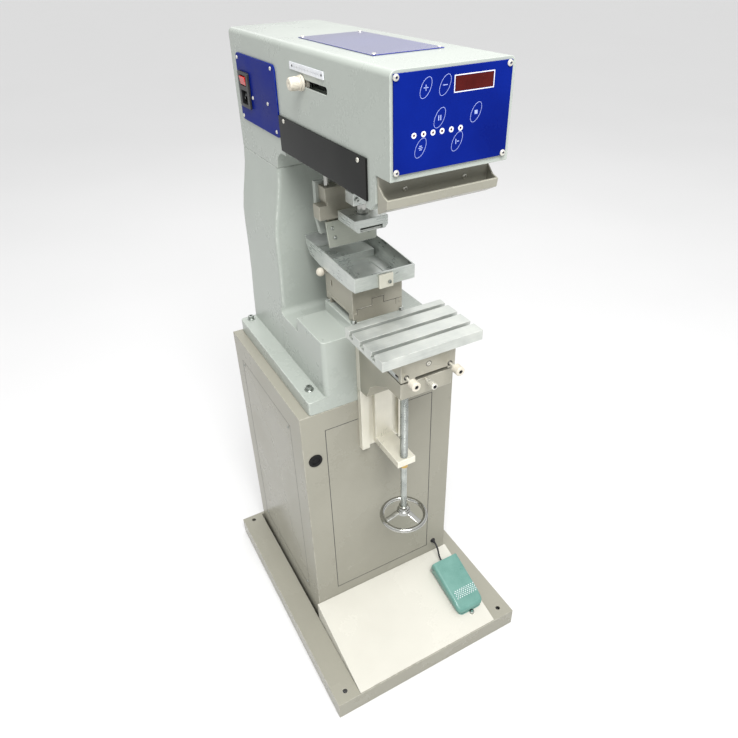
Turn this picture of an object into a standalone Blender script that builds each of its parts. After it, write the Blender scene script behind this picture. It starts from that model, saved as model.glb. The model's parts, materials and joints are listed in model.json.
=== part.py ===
"""A floor-standing pad printing machine with an open ink tray.

A steel cabinet on a floor frame carries a cast machine frame. Its column holds a hood, inside which a
carriage moves the printing head and the doctor blade over the ink tray. A knee on a lead screw lifts a
T-slot table in front, and a foot pedal stands on the sloping foot plate.
Metres, +Z up, origin at the bottom centre of the floor frame, the operator's side towards -Y.
"""
import math

import bmesh
import bpy
from mathutils import Vector

# Fits and cutting
seat_gap = 0.0003
slide_gap = 0.0004
panel_gap = 0.0004
bore_gap = 0.0003
overrun = 0.002
weld = 0.002
smooth_angle = math.radians(40)
round_sides = 32
small_sides = 20
rod_sides = 12

# Floor frame
base_width = 0.480
base_depth = 0.622
base_height = 0.048
rail_width = 0.055
rail_wall = 0.004
front_lip = 0.0027
rear_lip = 0.008
pan_thickness = 0.003
anchor_radius = 0.0055
anchor_front_inset = 0.025
anchor_rear_inset = 0.017

# Foot plate, sloping up to the cabinet
plate_sheet = 0.003
plate_rise = 0.054

# Cabinet
cabinet_setback = 0.220
cabinet_side_clearance = 0.006
cabinet_rear_margin = 0.011
cabinet_height = 0.6634
cabinet_sheet = 0.002
front_panel_side_margin = 0.052
front_panel_sill = 0.1277
front_panel_head_margin = 0.0467
side_panel_front_margin = 0.059
side_panel_rear_margin = 0.046
side_panel_sill = 0.0947
side_panel_head_margin = 0.0547
bush_inset = 0.0255
bush_drop = 0.1147
bush_radius = 0.015
bush_neck_radius = 0.012
bush_proud = 0.0025
bush_dish_radius = 0.009
bush_dish_depth = 0.003
gland_inset = 0.0336
gland_height = 0.1357
gland_flange_radius = 0.0065
gland_flange = 0.0025
gland_neck_radius = 0.004
gland_nose_radius = 0.0045
gland_nose = 0.005

# Cast machine frame
casting_wall = 0.010
flange_side_inset = 0.022
flange_rear_inset = 0.005
flange_thickness = 0.031
flange_corner = 0.006
block_side_inset = 0.037
block_depth = 0.115
block_rise = 0.122
block_corner = 0.010
ledge_rise = 0.090
foot_fillet = 0.013
boss_width = 0.114
boss_setback = 0.002
boss_rise = 0.022
column_depth = 0.185
column_rear_inset = 0.001
column_rise = 0.3867
column_waist_draw = 0.012
column_edge_radius = 0.008
column_level_shares = (0.0, 0.42, 0.63, 1.0)
hole_side_inset = 0.010
hole_front_inset = 0.013
hole_rear_inset = 0.008
hole_radius = 0.0025
hole_depth = 0.006
bolt_side_inset = 0.021
bolt_front_inset = 0.042
bolt_rear_inset = 0.014
bolt_radius = 0.004
bolt_hole_radius = 0.0045
bolt_reach = 0.024
washer_radius = 0.0095
washer_thickness = 0.0018
bolt_head_radius = 0.0065
bolt_head_height = 0.0065
bolt_socket_radius = 0.0029
bolt_socket_depth = 0.0035

# Hood
head_overhang = 0.209
head_rise = 0.215
head_width = 0.189
head_sheet = 0.003
head_edge_radius = 0.009
front_face_drop = 0.133
step_back = 0.039
step_drop = 0.039
slope_back = 0.016
throat_front_rise = 0.029
throat_rear_rise = 0.033
throat_fillet = 0.033
floor_reach = 0.038
window_front_inset = 0.069
window_length = 0.292
window_rise = 0.049
window_height = 0.043
slot_front_inset = 0.176
slot_length = 0.115
slot_height = 0.0105
slot_drop = 0.0498
slot_corner = 0.004

# Pieces on the hood
control_width = 0.174
control_height = 0.120
control_thickness = 0.003
control_top_margin = 0.004
control_corner = 0.004
display_width = 0.060
display_height = 0.020
display_thickness = 0.0022
display_drop = 0.011
top_plate_width = 0.114
top_plate_length = 0.244
top_plate_thickness = 0.003
top_plate_setback = 0.108
inlet_panel_length = 0.1924
inlet_panel_height = 0.117
inlet_panel_thickness = 0.0025
inlet_panel_rear_inset = 0.031
inlet_panel_rise = 0.060
inlet_panel_corner = 0.010
inlet_length = 0.052
inlet_height = 0.062
inlet_rim_thickness = 0.004
inlet_rim_overlap = 0.004
inlet_body_depth = 0.024
inlet_rear_offset = 0.012
inlet_rise = 0.026
inlet_corner = 0.003
socket_length = 0.030
socket_height = 0.024
socket_depth = 0.016
socket_sill = 0.006
rocker_length = 0.028
rocker_height = 0.018
rocker_depth = 0.011
rocker_proud = 0.0025
rocker_sill = 0.038
rocker_dip = 0.0015
rocker_gap = 0.0018
window_overlap_front = 0.009
window_overlap_height = 0.008
window_thickness = 0.003
scale_length = 0.122
scale_height = 0.011
scale_thickness = 0.0015
scale_rise = 0.0092
scale_front_offset = 0.006
tray_half_margin = 0.0023
tray_sheet = 0.0025
tray_back_rise = 0.052
tray_front_reach = 0.0247
tray_lip_rise = 0.0257
tray_toe_rise = 0.013
tray_lip_lean = 0.0023
tray_back_overlap = 0.015
tray_end_rise = 0.041
tray_end_sag = 0.004

# Stroke stop in the hood's side
stroke_ahead = 0.053
stroke_neck_radius = 0.0048
stroke_disc_radius = 0.010
stroke_disc = 0.005
stroke_flange_radius = 0.0115
stroke_flange = 0.004
stroke_stem_radius = 0.004
stroke_stem = 0.006
knob_radius = 0.011
knob_length = 0.018
knob_rim = 0.001

# Carriage on two rods in the hood
rod_rise = 0.135
rod_radius = 0.007
rod_half_pitch = 0.045
carriage_width = 0.120
carriage_height = 0.030
carriage_ahead = 0.005
carriage_depth = 0.133
cylinder_radius = 0.020
cylinder_length = 0.160
piston_rod_radius = 0.006
piston_rod_end_margin = 0.012
pad_axis_behind_face = 0.051
pad_cylinder_width = 0.054
pad_cylinder_height = 0.1247
pad_ram_radius = 0.011
pad_ram_top_margin = 0.015
ram_reach = 0.0507
clamp_width = 0.050
clamp_depth = 0.030
clamp_height = 0.022
clamp_rise = 0.019
pad_block_width = 0.066
pad_block_depth = 0.066
pad_block_height = 0.023
pad_block_chamfer = 0.006
pad_slot_width = 0.044
pad_slot_throat = 0.0352
pad_slot_floor = 0.002
pad_slot_height = 0.006

# Doctor blade unit
bracket_thickness = 0.012
bracket_hanger_width = 0.060
bracket_shoulder_width = 0.110
bracket_waist_width = 0.111
bracket_foot_width = 0.100
bracket_shoulder_drop = 0.1317
bracket_waist_drop = 0.2037
bracket_length = 0.2317
blade_rod_radius = 0.0045
blade_rod_half_pitch = 0.040
blade_rod_depth = 0.016
blade_rod_length = 0.1594
carrier_depth = 0.027
carrier_top_width = 0.098
carrier_groove_width = 0.092
carrier_width = 0.124
carrier_top_drop = 0.1377
carrier_height = 0.058
carrier_shoulder = 0.026
carrier_groove = 0.006
blade_width = 0.098
blade_thickness = 0.005
blade_height = 0.046
blade_lean_share = 0.2556
blade_drop = 0.006
blade_front_offset = 0.004
tongue_width = 0.080
tongue_thickness = 0.008
tongue_height = 0.022
strip_thickness = 0.0008
strip_width = 0.094
strip_reach = 0.0025

# Ink tray and its slide
slide_width = 0.104
slide_rise = 0.0267
slide_shoulder = 0.008
slide_shoulder_inset = 0.008
tongue_rise = 0.015
tongue_rail_width = 0.024
tunnel_height = 0.0127
tunnel_inset = 0.018
slide_top_rise = 0.0734
notch_width = 0.006
notch_height = 0.011
notch_depth = 0.003
notch_rear_inset = 0.026
notch_rise = 0.040
ink_width = 0.122
ink_front_reach = 0.0295
ink_rear_reach = 0.065
ink_bottom = 0.003
ink_front_height = 0.0297
ink_rear_height = 0.041
ink_heel_reach = 0.062
ink_heel_height = 0.024
ink_toe_reach = 0.046
ink_toe_height = 0.0067
ink_wall = 0.004
ink_rim = 0.003
ink_floor_inset = 0.015
ink_floor = 0.005
platform_width = 0.089
platform_front = 0.022
platform_depth = 0.062
platform_height = 0.014
ridge_half_pitch = 0.025
ridge_width = 0.002
ridge_height = 0.0012
ridge_front = 0.020
ridge_length = 0.061
clamp_block_width = 0.028
clamp_block_height = 0.026
clamp_block_depth = 0.004
clamp_block_rise = 0.001
ball_radius = 0.0085
ball_reach = 0.012
ball_stem_radius = 0.003
ball_stem_depth = 0.014
ball_rear_inset = 0.006
ball_drop = 0.0095

# Knee, its guide and the lead screw
guide_width = 0.104
guide_depth = 0.0137
guide_top_drop = 0.002
guide_length = 0.273
dovetail_mouth = 0.069
dovetail_root = 0.080
dovetail_depth = 0.009
spine_width = 0.041
spine_rise = 0.006
spine_height = 0.179
shelf_thickness = 0.0155
shelf_front_reach = 0.104
screw_reach = 0.093
screw_radius = 0.008
screw_length = 0.255
screw_chamfer = 0.0015
journal_radius = 0.0065
journal_length = 0.1773
collar_radius = 0.0085
collar_height = 0.010
knee_top_drop = 0.015
arm_reach = 0.166
arm_thickness = 0.032
knee_height = 0.107
haunch_reaches = (0.119, 0.075, 0.055, 0.041)
haunch_drops = (0.034, 0.057, 0.074, 0.104)
nut_radius = 0.012
nut_length = 0.040
nut_top_drop = 0.008
wheel_radius = 0.049
wheel_tube_radius = 0.005
wheel_hub_radius = 0.014
wheel_hub_height = 0.042
wheel_hub_above_rim = 0.028
wheel_hub_floor = 0.003
spoke_radius = 0.0045
spoke_count = 3
spoke_start_angle = -64.4

# Cross slide, table slide and table
key_width = 0.0392
key_depth = 0.0057
key_front_reach = 0.136
key_length = 0.020
key_travel = 0.0125
screw_slot_width = 0.018
screw_slot_ahead = 0.022
cross_width = 0.100
cross_front_reach = 0.156
cross_length = 0.076
cross_thickness = 0.0064
tail_height = 0.010
tail_foot_inset = 0.014
tail_head_inset = 0.006
table_slide_width = 0.109
table_slide_front_reach = 0.171
table_slide_length = 0.106
table_slide_height = 0.0467
gib_front_inset = 0.009
pocket_width = 0.068
pocket_half_depth = 0.021
pocket_height = 0.043
recess_left = 0.026
recess_right = 0.040
recess_height = 0.004
recess_depth = 0.007
table_width = 0.196
table_front_reach = 0.186
table_length = 0.129
table_thickness = 0.019
slot_count = 3
slot_pitch = 0.0387
slot_first = 0.031
slot_mouth = 0.009
slot_mouth_depth = 0.007
slot_wide = 0.015
slot_wide_depth = 0.006
thumb_half_pitch = 0.0438
thumb_rise = 0.0088
thumb_radius = 0.0085
thumb_length = 0.020
thumb_standoff = 0.012
thumb_stem_radius = 0.004
thumb_stem_depth = 0.008
thumb_chamfer = 0.0012
lock_radius = 0.006
lock_length = 0.018
lock_standoff = 0.008
lock_stem_radius = 0.003
lock_stem_depth = 0.013
lock_drop = 0.006
grip_socket_radius = 0.0025
grip_socket_depth = 0.004

# Foot pedal
pedal_side_inset = 0.0396
pedal_setback = 0.0455
pedal_corner_radius = 0.014
pedal_base_length = 0.133
pedal_base_rear_height = 0.026
pedal_base_front_height = 0.003
pedal_base_side_gap = 0.0005
pedal_crest = 0.116
pedal_toe = 0.014
nub_radius = 0.0055
nub_height = 0.0045
nub_reach = 0.004
pedal_pin_along = 0.125
pedal_pin_height = 0.020
pedal_pin_radius = 0.0025
pedal_pin_proud = 0.003
treadle_half = 0.037
treadle_sheet = 0.003
treadle_rear = 0.131
treadle_front = 0.001
treadle_shoulder = 0.030
treadle_rear_height = 0.038
treadle_shoulder_height = 0.027
treadle_nose_height = 0.017
treadle_skirt_height = 0.0095
treadle_edge_radius = 0.007
pedal_gland_radius = 0.0045
pedal_gland_length = 0.005
pedal_gland_height = 0.014
cord_radius = 0.0022
cord_lead = 0.005

# The pedal cord's route between its two glands, from the pedal's middle, the cabinet's face and its foot
cord_route = (
    (0.0003, -0.0175, 0.1332),
    (0.0002, -0.0240, 0.1272),
    (0.0001, -0.0285, 0.1182),
    (0.0000, -0.0330, 0.1092),
)

# Colour, roughness and metallic value of each finish
grey_enamel = ((0.52, 0.55, 0.52), 0.28, 0.1)
pale_enamel = ((0.80, 0.81, 0.78), 0.30, 0.1)
blue_panel = ((0.02, 0.05, 0.36), 0.32, 0.0)
smoked_acrylic = ((0.01, 0.01, 0.012), 0.08, 0.0)
red_display = ((0.14, 0.01, 0.02), 0.15, 0.0)
black_plastic = ((0.02, 0.02, 0.02), 0.45, 0.0)
red_plastic = ((0.62, 0.03, 0.03), 0.35, 0.0)
white_plastic = ((0.86, 0.86, 0.82), 0.40, 0.0)
machined_aluminium = ((0.78, 0.79, 0.80), 0.30, 1.0)
ground_steel = ((0.62, 0.63, 0.64), 0.28, 1.0)
zinc_steel = ((0.55, 0.60, 0.66), 0.35, 1.0)
chrome = ((0.85, 0.86, 0.88), 0.08, 1.0)
brass = ((0.74, 0.56, 0.25), 0.30, 1.0)
teal_enamel = ((0.19, 0.42, 0.36), 0.45, 0.1)
black_rubber = ((0.03, 0.03, 0.03), 0.60, 0.0)

placed = {}


def coat(name, finish):
    """A Principled material of one sub-part."""
    colour, roughness, metallic = finish
    made = bpy.data.materials.new(name + "_finish")
    made.use_nodes = True
    shader = made.node_tree.nodes["Principled BSDF"]
    shader.inputs["Base Color"].default_value = (*colour, 1.0)
    shader.inputs["Roughness"].default_value = roughness
    shader.inputs["Metallic"].default_value = metallic
    return made


def stand(name, data, at, parent):
    """Link an object or an empty with its origin at a world point, under a parent that is not turned."""
    made = bpy.data.objects.new(name, data)
    bpy.context.scene.collection.objects.link(made)
    placed[name] = Vector(at)
    made.parent = parent
    made.location = placed[name] - (placed[parent.name] if parent else Vector())
    return made


def pivot(name, at, parent=None):
    """An empty on the axis of a joint."""
    return stand(name, None, at, parent)


def add(name, shape, finish=None, parent=None, at=None, smooth=False):
    """Make a sub-part from a mesh that is built in world coordinates."""
    origin = Vector(at) if at else (placed[parent.name] if parent else Vector())
    bmesh.ops.translate(shape, verts=shape.verts, vec=-origin)
    mesh = bpy.data.meshes.new(name)
    shape.to_mesh(mesh)
    shape.free()
    if smooth:
        mesh.shade_smooth()
        mesh.set_sharp_from_angle(angle=smooth_angle)
    if finish:
        mesh.materials.append(coat(name, finish))
    return stand(name, mesh, origin, parent)


def combine(target, shape, operation):
    """Cut a hidden shape out of a sub-part, or weld it on."""
    tool = add(f"{target.name}_tool_{len(target.modifiers) + 1}", shape, None, target)
    tool.hide_render = True
    tool.display_type = "WIRE"
    step = target.modifiers.new(operation.lower(), "BOOLEAN")
    step.operation = operation
    step.object = tool


def cut(target, shape):
    combine(target, shape, "DIFFERENCE")


def join(target, shape):
    combine(target, shape, "UNION")


def across(width):
    """The two ends of a width centred on the machine's middle plane."""
    return (-width / 2, width / 2)


def around(centre, width):
    return (centre - width / 2, centre + width / 2)


def block(xs, ys, zs):
    """A box between three pairs of limits."""
    return prism([(xs[0], ys[0]), (xs[1], ys[0]), (xs[1], ys[1]), (xs[0], ys[1])], "Z", zs)


def on_axis(axis, first, second, along):
    """A point from its along-axis value and its two others, which stay in X, Y, Z order."""
    if axis == "X":
        return Vector((along, first, second))
    if axis == "Y":
        return Vector((first, along, second))
    return Vector((first, second, along))


def prism(outline, axis, ends):
    """Extrude a flat outline along an axis; the outline lies in the two other axes."""
    shape = bmesh.new()
    corners = [shape.verts.new(on_axis(axis, a, b, ends[0])) for a, b in outline]
    face = shape.faces.new(corners)
    made = bmesh.ops.extrude_face_region(shape, geom=[face])
    moved = [part for part in made["geom"] if isinstance(part, bmesh.types.BMVert)]
    bmesh.ops.translate(shape, verts=moved, vec=on_axis(axis, 0, 0, ends[1] - ends[0]))
    bmesh.ops.recalc_face_normals(shape, faces=shape.faces)
    return shape


def lathe(profile, axis, centre, sides=round_sides, closed=False):
    """Turn (radius, along) points round an axis; centre gives the axis in the two other directions."""
    shape = bmesh.new()
    rings = []
    for radius, along in profile:
        ring = []
        for side in range(sides if radius > 0 else 1):
            angle = 2 * math.pi * side / sides
            first = centre[0] + radius * math.cos(angle)
            second = centre[1] + radius * math.sin(angle)
            ring.append(shape.verts.new(on_axis(axis, first, second, along)))
        rings.append(ring)
    pairs = list(zip(rings, rings[1:]))
    if closed:
        pairs.append((rings[-1], rings[0]))
    for low, high in pairs:
        for side in range(sides):
            after = side + 1
            corners = [low[side % len(low)], low[after % len(low)]]
            corners += [high[after % len(high)], high[side % len(high)]]
            shape.faces.new(list(dict.fromkeys(corners)))
    bmesh.ops.recalc_face_normals(shape, faces=shape.faces)
    return shape


def rod(axis, centre, radius, ends, sides=round_sides):
    return lathe([(0, ends[0]), (radius, ends[0]), (radius, ends[1]), (0, ends[1])], axis, centre, sides)


def ball(axis, centre, along, radius, sides, rings):
    profile = []
    for ring in range(rings + 1):
        angle = math.pi * ring / rings
        reach = radius * math.sin(angle) if 0 < ring < rings else 0
        profile.append((reach, along - radius * math.cos(angle)))
    return lathe(profile, axis, centre, sides)


def hexagon(axis, centre, radius, ends):
    return rod(axis, centre, radius, ends, 6)


def arc(centre, radius, start, end, steps):
    """Points along a circular arc, both ends included; angles in degrees."""
    points = []
    for step in range(steps + 1):
        angle = math.radians(start + (end - start) * step / steps)
        points.append((centre[0] + radius * math.cos(angle), centre[1] + radius * math.sin(angle)))
    return points


def rectangle(first, second):
    """A flat outline between two pairs of limits."""
    return [(first[0], second[0]), (first[1], second[0]), (first[1], second[1]), (first[0], second[1])]


def rounded(outline, radius, steps=3):
    """Round every corner of an outline with an arc."""
    points = []
    for index, corner in enumerate(outline):
        here = Vector(corner)
        before = (Vector(outline[index - 1]) - here).normalized()
        after = (Vector(outline[(index + 1) % len(outline)]) - here).normalized()
        half = before.angle(after) / 2
        centre = here + (before + after).normalized() * (radius / math.sin(half))
        first = here + before * (radius / math.tan(half)) - centre
        last = here + after * (radius / math.tan(half)) - centre
        for step in range(steps + 1):
            spoke = first.slerp(last, step / steps).normalized() * radius
            points.append(tuple(centre + spoke))
    return points


def frustum(low_x, low_y, low_z, high_x, high_y, high_z):
    """A box whose sides lean from its lower outline to its upper one."""
    shape = bmesh.new()
    low = [shape.verts.new((x, y, low_z)) for x, y in rectangle(low_x, low_y)]
    high = [shape.verts.new((x, y, high_z)) for x, y in rectangle(high_x, high_y)]
    shape.faces.new(low)
    shape.faces.new(high)
    for side in range(4):
        after = (side + 1) % 4
        shape.faces.new((low[side], low[after], high[after], high[side]))
    bmesh.ops.recalc_face_normals(shape, faces=shape.faces)
    return shape


def round_edges(shape, radius, segments, wanted):
    """Round the edges of a mesh that a test on their two ends picks."""
    picked = [edge for edge in shape.edges if wanted(edge.verts[0].co, edge.verts[1].co)]
    bmesh.ops.bevel(
        shape, geom=picked, offset=radius, offset_type="OFFSET", segments=segments, profile=0.5,
        affect="EDGES", clamp_overlap=True,
    )
    return shape


def upright(first, second):
    """Whether an edge runs more up than sideways."""
    span = first - second
    return abs(span.z) > max(abs(span.x), abs(span.y))


for old in list(bpy.data.objects):
    bpy.data.objects.remove(old, do_unlink=True)

# Levels and planes that the groups share
front_y = -base_depth / 2
rear_y = base_depth / 2
base_half = base_width / 2
pocket_half = base_half - rail_width
face_y = front_y + cabinet_setback
cabinet_half = pocket_half - cabinet_side_clearance
cabinet_rear_y = rear_y - cabinet_rear_margin
cabinet_z = pan_thickness + seat_gap
cabinet_top_z = cabinet_z + cabinet_height
flange_z = cabinet_top_z + seat_gap
flange_top_z = flange_z + flange_thickness
flange_half = cabinet_half - flange_side_inset
block_half = flange_half - block_side_inset
flange_rear_y = cabinet_rear_y - flange_rear_inset
block_top_z = flange_top_z + block_rise
block_rear_y = face_y + block_depth
ledge_z = flange_top_z + ledge_rise
boss_top_z = block_top_z + boss_rise
column_rear_y = flange_rear_y - column_rear_inset
column_front_y = column_rear_y - column_depth
column_top_z = flange_top_z + column_rise
head_z = column_top_z + seat_gap
head_top_z = head_z + head_rise
head_front_y = face_y - head_overhang
head_half = head_width / 2

# Floor frame: two channel rails, a thin pan between them, a lip in front and behind
base = add("base_frame", block(across(base_width), (front_y, rear_y), (0, base_height)), pale_enamel)
pocket_y = (front_y + front_lip, rear_y - rear_lip)
cut(base, block((-pocket_half, pocket_half), pocket_y, (pan_thickness, base_height + overrun)))
channel_y = (front_y + rail_wall, rear_y - rail_wall)
for side in (-1, 1):
    ends = sorted((side * (pocket_half + rail_wall), side * (base_half - rail_wall)))
    cut(base, block(ends, channel_y, (-overrun, base_height - rail_wall)))
    for hole_y in (front_y + anchor_front_inset, rear_y - anchor_rear_inset):
        centre = (side * (base_half - rail_width / 2), hole_y)
        hole_z = (base_height - rail_wall - overrun, base_height + overrun)
        cut(base, rod("Z", centre, anchor_radius, hole_z, rod_sides))

# Foot plate: a folded sheet, high at the cabinet, open behind and below
plate_half = pocket_half - panel_gap
plate_front_y = front_y + front_lip + seat_gap
plate_rear_y = face_y - seat_gap
plate_slope = plate_rise / (plate_rear_y - plate_front_y)
plate_angle = math.atan(plate_slope)


def plate_z(y):
    return base_height + (y - plate_front_y) * plate_slope


plate_outline = [(plate_front_y, cabinet_z), (plate_front_y, plate_z(plate_front_y))]
plate_outline += [(plate_rear_y, plate_z(plate_rear_y)), (plate_rear_y, cabinet_z)]
foot_plate = add("foot_plate", prism(plate_outline, "X", (-plate_half, plate_half)), pale_enamel)
inner_y = plate_front_y + plate_sheet
past_y = plate_rear_y + overrun
plate_inside = [(inner_y, -overrun), (inner_y, plate_z(inner_y) - plate_sheet)]
plate_inside += [(past_y, plate_z(past_y) - plate_sheet), (past_y, -overrun)]
cut(foot_plate, prism(plate_inside, "X", (plate_sheet - plate_half, plate_half - plate_sheet)))

# Cabinet: a sheet box, open below, with flush panels in its front and sides
cabinet_y = (face_y, cabinet_rear_y)
cabinet_block = block(across(2 * cabinet_half), cabinet_y, (cabinet_z, cabinet_top_z))
cabinet = add("cabinet_body", cabinet_block, grey_enamel)
inside_half = cabinet_half - cabinet_sheet
inside_y = (face_y + cabinet_sheet, cabinet_rear_y - cabinet_sheet)
inside_z = (cabinet_z - overrun, cabinet_top_z - cabinet_sheet)
cut(cabinet, block((-inside_half, inside_half), inside_y, inside_z))
front_panel_width = 2 * (cabinet_half - front_panel_side_margin)
front_panel_z = (cabinet_z + front_panel_sill, cabinet_top_z - front_panel_head_margin)
side_panel_y = (face_y + side_panel_front_margin, cabinet_rear_y - side_panel_rear_margin)
side_panel_z = (cabinet_z + side_panel_sill, cabinet_top_z - side_panel_head_margin)
cut(cabinet, block(across(front_panel_width), (face_y - overrun, face_y + 2 * overrun), front_panel_z))
side_x = (-cabinet_half - overrun, cabinet_half + overrun)
cut(cabinet, block(side_x, side_panel_y, side_panel_z))
bush_centre = (bush_inset - cabinet_half, cabinet_top_z - bush_drop)
gland_centre = (cabinet_half - gland_inset, cabinet_z + gland_height)
wall_y = (face_y - overrun, face_y + 2 * overrun)
cut(cabinet, rod("Y", bush_centre, bush_neck_radius + bore_gap, wall_y, small_sides))
cut(cabinet, rod("Y", gland_centre, gland_neck_radius + bore_gap, wall_y, small_sides))


def inset(limits, by):
    return (limits[0] + by, limits[1] - by)


panel_y = (face_y, face_y + cabinet_sheet)
panel_x = inset(across(front_panel_width), panel_gap)
add("front_panel", block(panel_x, panel_y, inset(front_panel_z, panel_gap)), grey_enamel)
for side, word in ((-1, "left"), (1, "right")):
    sheet_x = sorted((side * cabinet_half, side * inside_half))
    sheet = block(sheet_x, inset(side_panel_y, panel_gap), inset(side_panel_z, panel_gap))
    add("side_panel_" + word, sheet, grey_enamel)

bush_back_y = face_y + cabinet_sheet + overrun
bush_front_y = face_y - bush_proud
bush_profile = [(0, bush_front_y + bush_dish_depth), (bush_dish_radius, bush_front_y + bush_dish_depth)]
bush_profile += [(bush_dish_radius, bush_front_y), (bush_radius, bush_front_y)]
bush_profile += [(bush_radius, face_y - seat_gap), (bush_neck_radius, face_y - seat_gap)]
bush_profile += [(bush_neck_radius, bush_back_y), (0, bush_back_y)]
add("cable_bush", lathe(bush_profile, "Y", bush_centre, small_sides), black_plastic, smooth=True)
gland_front_y = face_y - gland_nose
gland_profile = [(0, gland_front_y), (gland_nose_radius, gland_front_y)]
gland_profile += [(gland_nose_radius, face_y - gland_flange), (gland_flange_radius, face_y - gland_flange)]
gland_profile += [(gland_flange_radius, face_y - seat_gap), (gland_neck_radius, face_y - seat_gap)]
gland_profile += [(gland_neck_radius, bush_back_y), (0, bush_back_y)]
add("cord_gland", lathe(gland_profile, "Y", gland_centre, small_sides), black_rubber, smooth=True)

# Cast machine frame: bolting flange, front block, waisted column, all hollow from below
flange = block((-flange_half, flange_half), (face_y, flange_rear_y), (flange_z, flange_top_z))
frame = add("machine_frame", round_edges(flange, flange_corner, 2, upright), grey_enamel)


def smooth_step(share):
    return share * share * (3 - 2 * share)


def column_half(z, inset_by=0):
    """Half the column's width at a height: broad at the foot, drawn in to the hood."""
    foot_width = 2 * block_half
    waist_width = foot_width - column_waist_draw
    widths = (foot_width, waist_width, waist_width, head_width)
    share = (z - flange_top_z) / column_rise
    for index in range(3):
        low, high = column_level_shares[index], column_level_shares[index + 1]
        if share <= high or index == 2:
            blend = smooth_step(min(max((share - low) / (high - low), 0), 1))
            return (widths[index] + (widths[index + 1] - widths[index]) * blend) / 2 - inset_by


def column_outline(low_z, high_z, inset_by):
    """The column seen from the front, with more points where it draws in."""
    shares = [0.0, 0.15, 0.3, 0.45, 0.6, 0.68, 0.76, 0.84, 0.92, 1.0]
    levels = [low_z + (high_z - low_z) * share for share in shares]
    right = [(column_half(z, inset_by), z) for z in levels]
    return right + [(-x, z) for x, z in reversed(right)]


block_low_z = flange_top_z - weld
column_in_y = column_front_y + weld
block_outline = [(face_y, block_low_z), (face_y, block_top_z), (block_rear_y, block_top_z)]
block_outline += [(block_rear_y, ledge_z)]
fillet_centre = (column_front_y - foot_fillet, ledge_z + foot_fillet)
block_outline += arc(fillet_centre, foot_fillet, -90, 0, 4)
block_outline += [(column_in_y, ledge_z + foot_fillet), (column_in_y, block_low_z)]
front_block = prism(block_outline, "X", (-block_half, block_half))


def front_upright(first, second):
    return upright(first, second) and max(first.y, second.y) < face_y + weld


join(frame, round_edges(front_block, block_corner, 3, front_upright))
column_y = (column_front_y, column_rear_y)
column = prism(column_outline(block_low_z, column_top_z, 0), "Y", column_y)


def column_front_edge(first, second):
    return upright(first, second) and max(first.y, second.y) < column_in_y


join(frame, round_edges(column, column_edge_radius, 2, column_front_edge))
boss_y = (face_y + boss_setback, block_rear_y)
join(frame, block(across(boss_width), boss_y, (block_top_z - weld, boss_top_z)))

hollow_low_z = flange_z - overrun
hollow_front_y = face_y + casting_wall
hollow = [(hollow_front_y, hollow_low_z), (hollow_front_y, block_top_z - casting_wall)]
hollow += [(block_rear_y - casting_wall, block_top_z - casting_wall)]
hollow += [(block_rear_y - casting_wall, ledge_z - casting_wall)]
hollow += [(column_front_y + 2 * casting_wall, ledge_z - casting_wall)]
hollow += [(column_front_y + 2 * casting_wall, hollow_low_z)]
cut(frame, prism(hollow, "X", (casting_wall - block_half, block_half - casting_wall)))
inner_column = column_outline(hollow_low_z, column_top_z - casting_wall, casting_wall)
cut(frame, prism(inner_column, "Y", inset(column_y, casting_wall)))

hole_z = (block_top_z - hole_depth, block_top_z + overrun)
for side in (-1, 1):
    for hole_y in (face_y + hole_front_inset, block_rear_y - hole_rear_inset):
        centre = (side * (block_half - hole_side_inset), hole_y)
        cut(frame, rod("Z", centre, hole_radius, hole_z, rod_sides))

bolt_x = flange_half - bolt_side_inset
bolt_rows = (("front", face_y + bolt_front_inset), ("rear", flange_rear_y - bolt_rear_inset))
seat_z = flange_top_z + seat_gap
head_base_z = seat_z + washer_thickness
bolt_top_z = head_base_z + bolt_head_height
bolt_profile = [(0, flange_top_z - bolt_reach), (bolt_radius, flange_top_z - bolt_reach)]
bolt_profile += [(bolt_radius, seat_z), (washer_radius, seat_z), (washer_radius, head_base_z)]
bolt_profile += [(bolt_head_radius, head_base_z), (bolt_head_radius, bolt_top_z), (0, bolt_top_z)]
bolt_socket_z = (bolt_top_z - bolt_socket_depth, bolt_top_z + overrun)
for side, word in ((-1, "left"), (1, "right")):
    for row, bolt_y in bolt_rows:
        centre = (side * bolt_x, bolt_y)
        cut(frame, rod("Z", centre, bolt_hole_radius, (hollow_low_z, flange_top_z + overrun), rod_sides))
        bolt = add(f"flange_bolt_{row}_{word}", lathe(bolt_profile, "Z", centre, rod_sides), zinc_steel)
        cut(bolt, hexagon("Z", centre, bolt_socket_radius, bolt_socket_z))

# Hood: folded sheet, open below in front of the column
front_low_z = head_top_z - front_face_drop
step_y = head_front_y + step_back
step_low_z = front_low_z - step_drop
throat_front_y = step_y + slope_back
throat_front_z = head_z + throat_front_rise
throat_rear_z = head_z + throat_rear_rise
hood_outline = [(head_front_y, head_top_z), (head_front_y, front_low_z), (step_y, front_low_z)]
hood_outline += [(step_y, step_low_z), (throat_front_y, throat_front_z)]
hood_outline += arc((column_front_y - throat_fillet, throat_rear_z - throat_fillet), throat_fillet, 90, 0, 5)
hood_outline += [(column_rear_y, head_z), (column_rear_y, head_top_z)]


def along_top_side(first, second):
    span = first - second
    high = min(first.z, second.z) > head_top_z - 2 * head_sheet
    return high and abs(span.y) > max(abs(span.x), abs(span.z))


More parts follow.
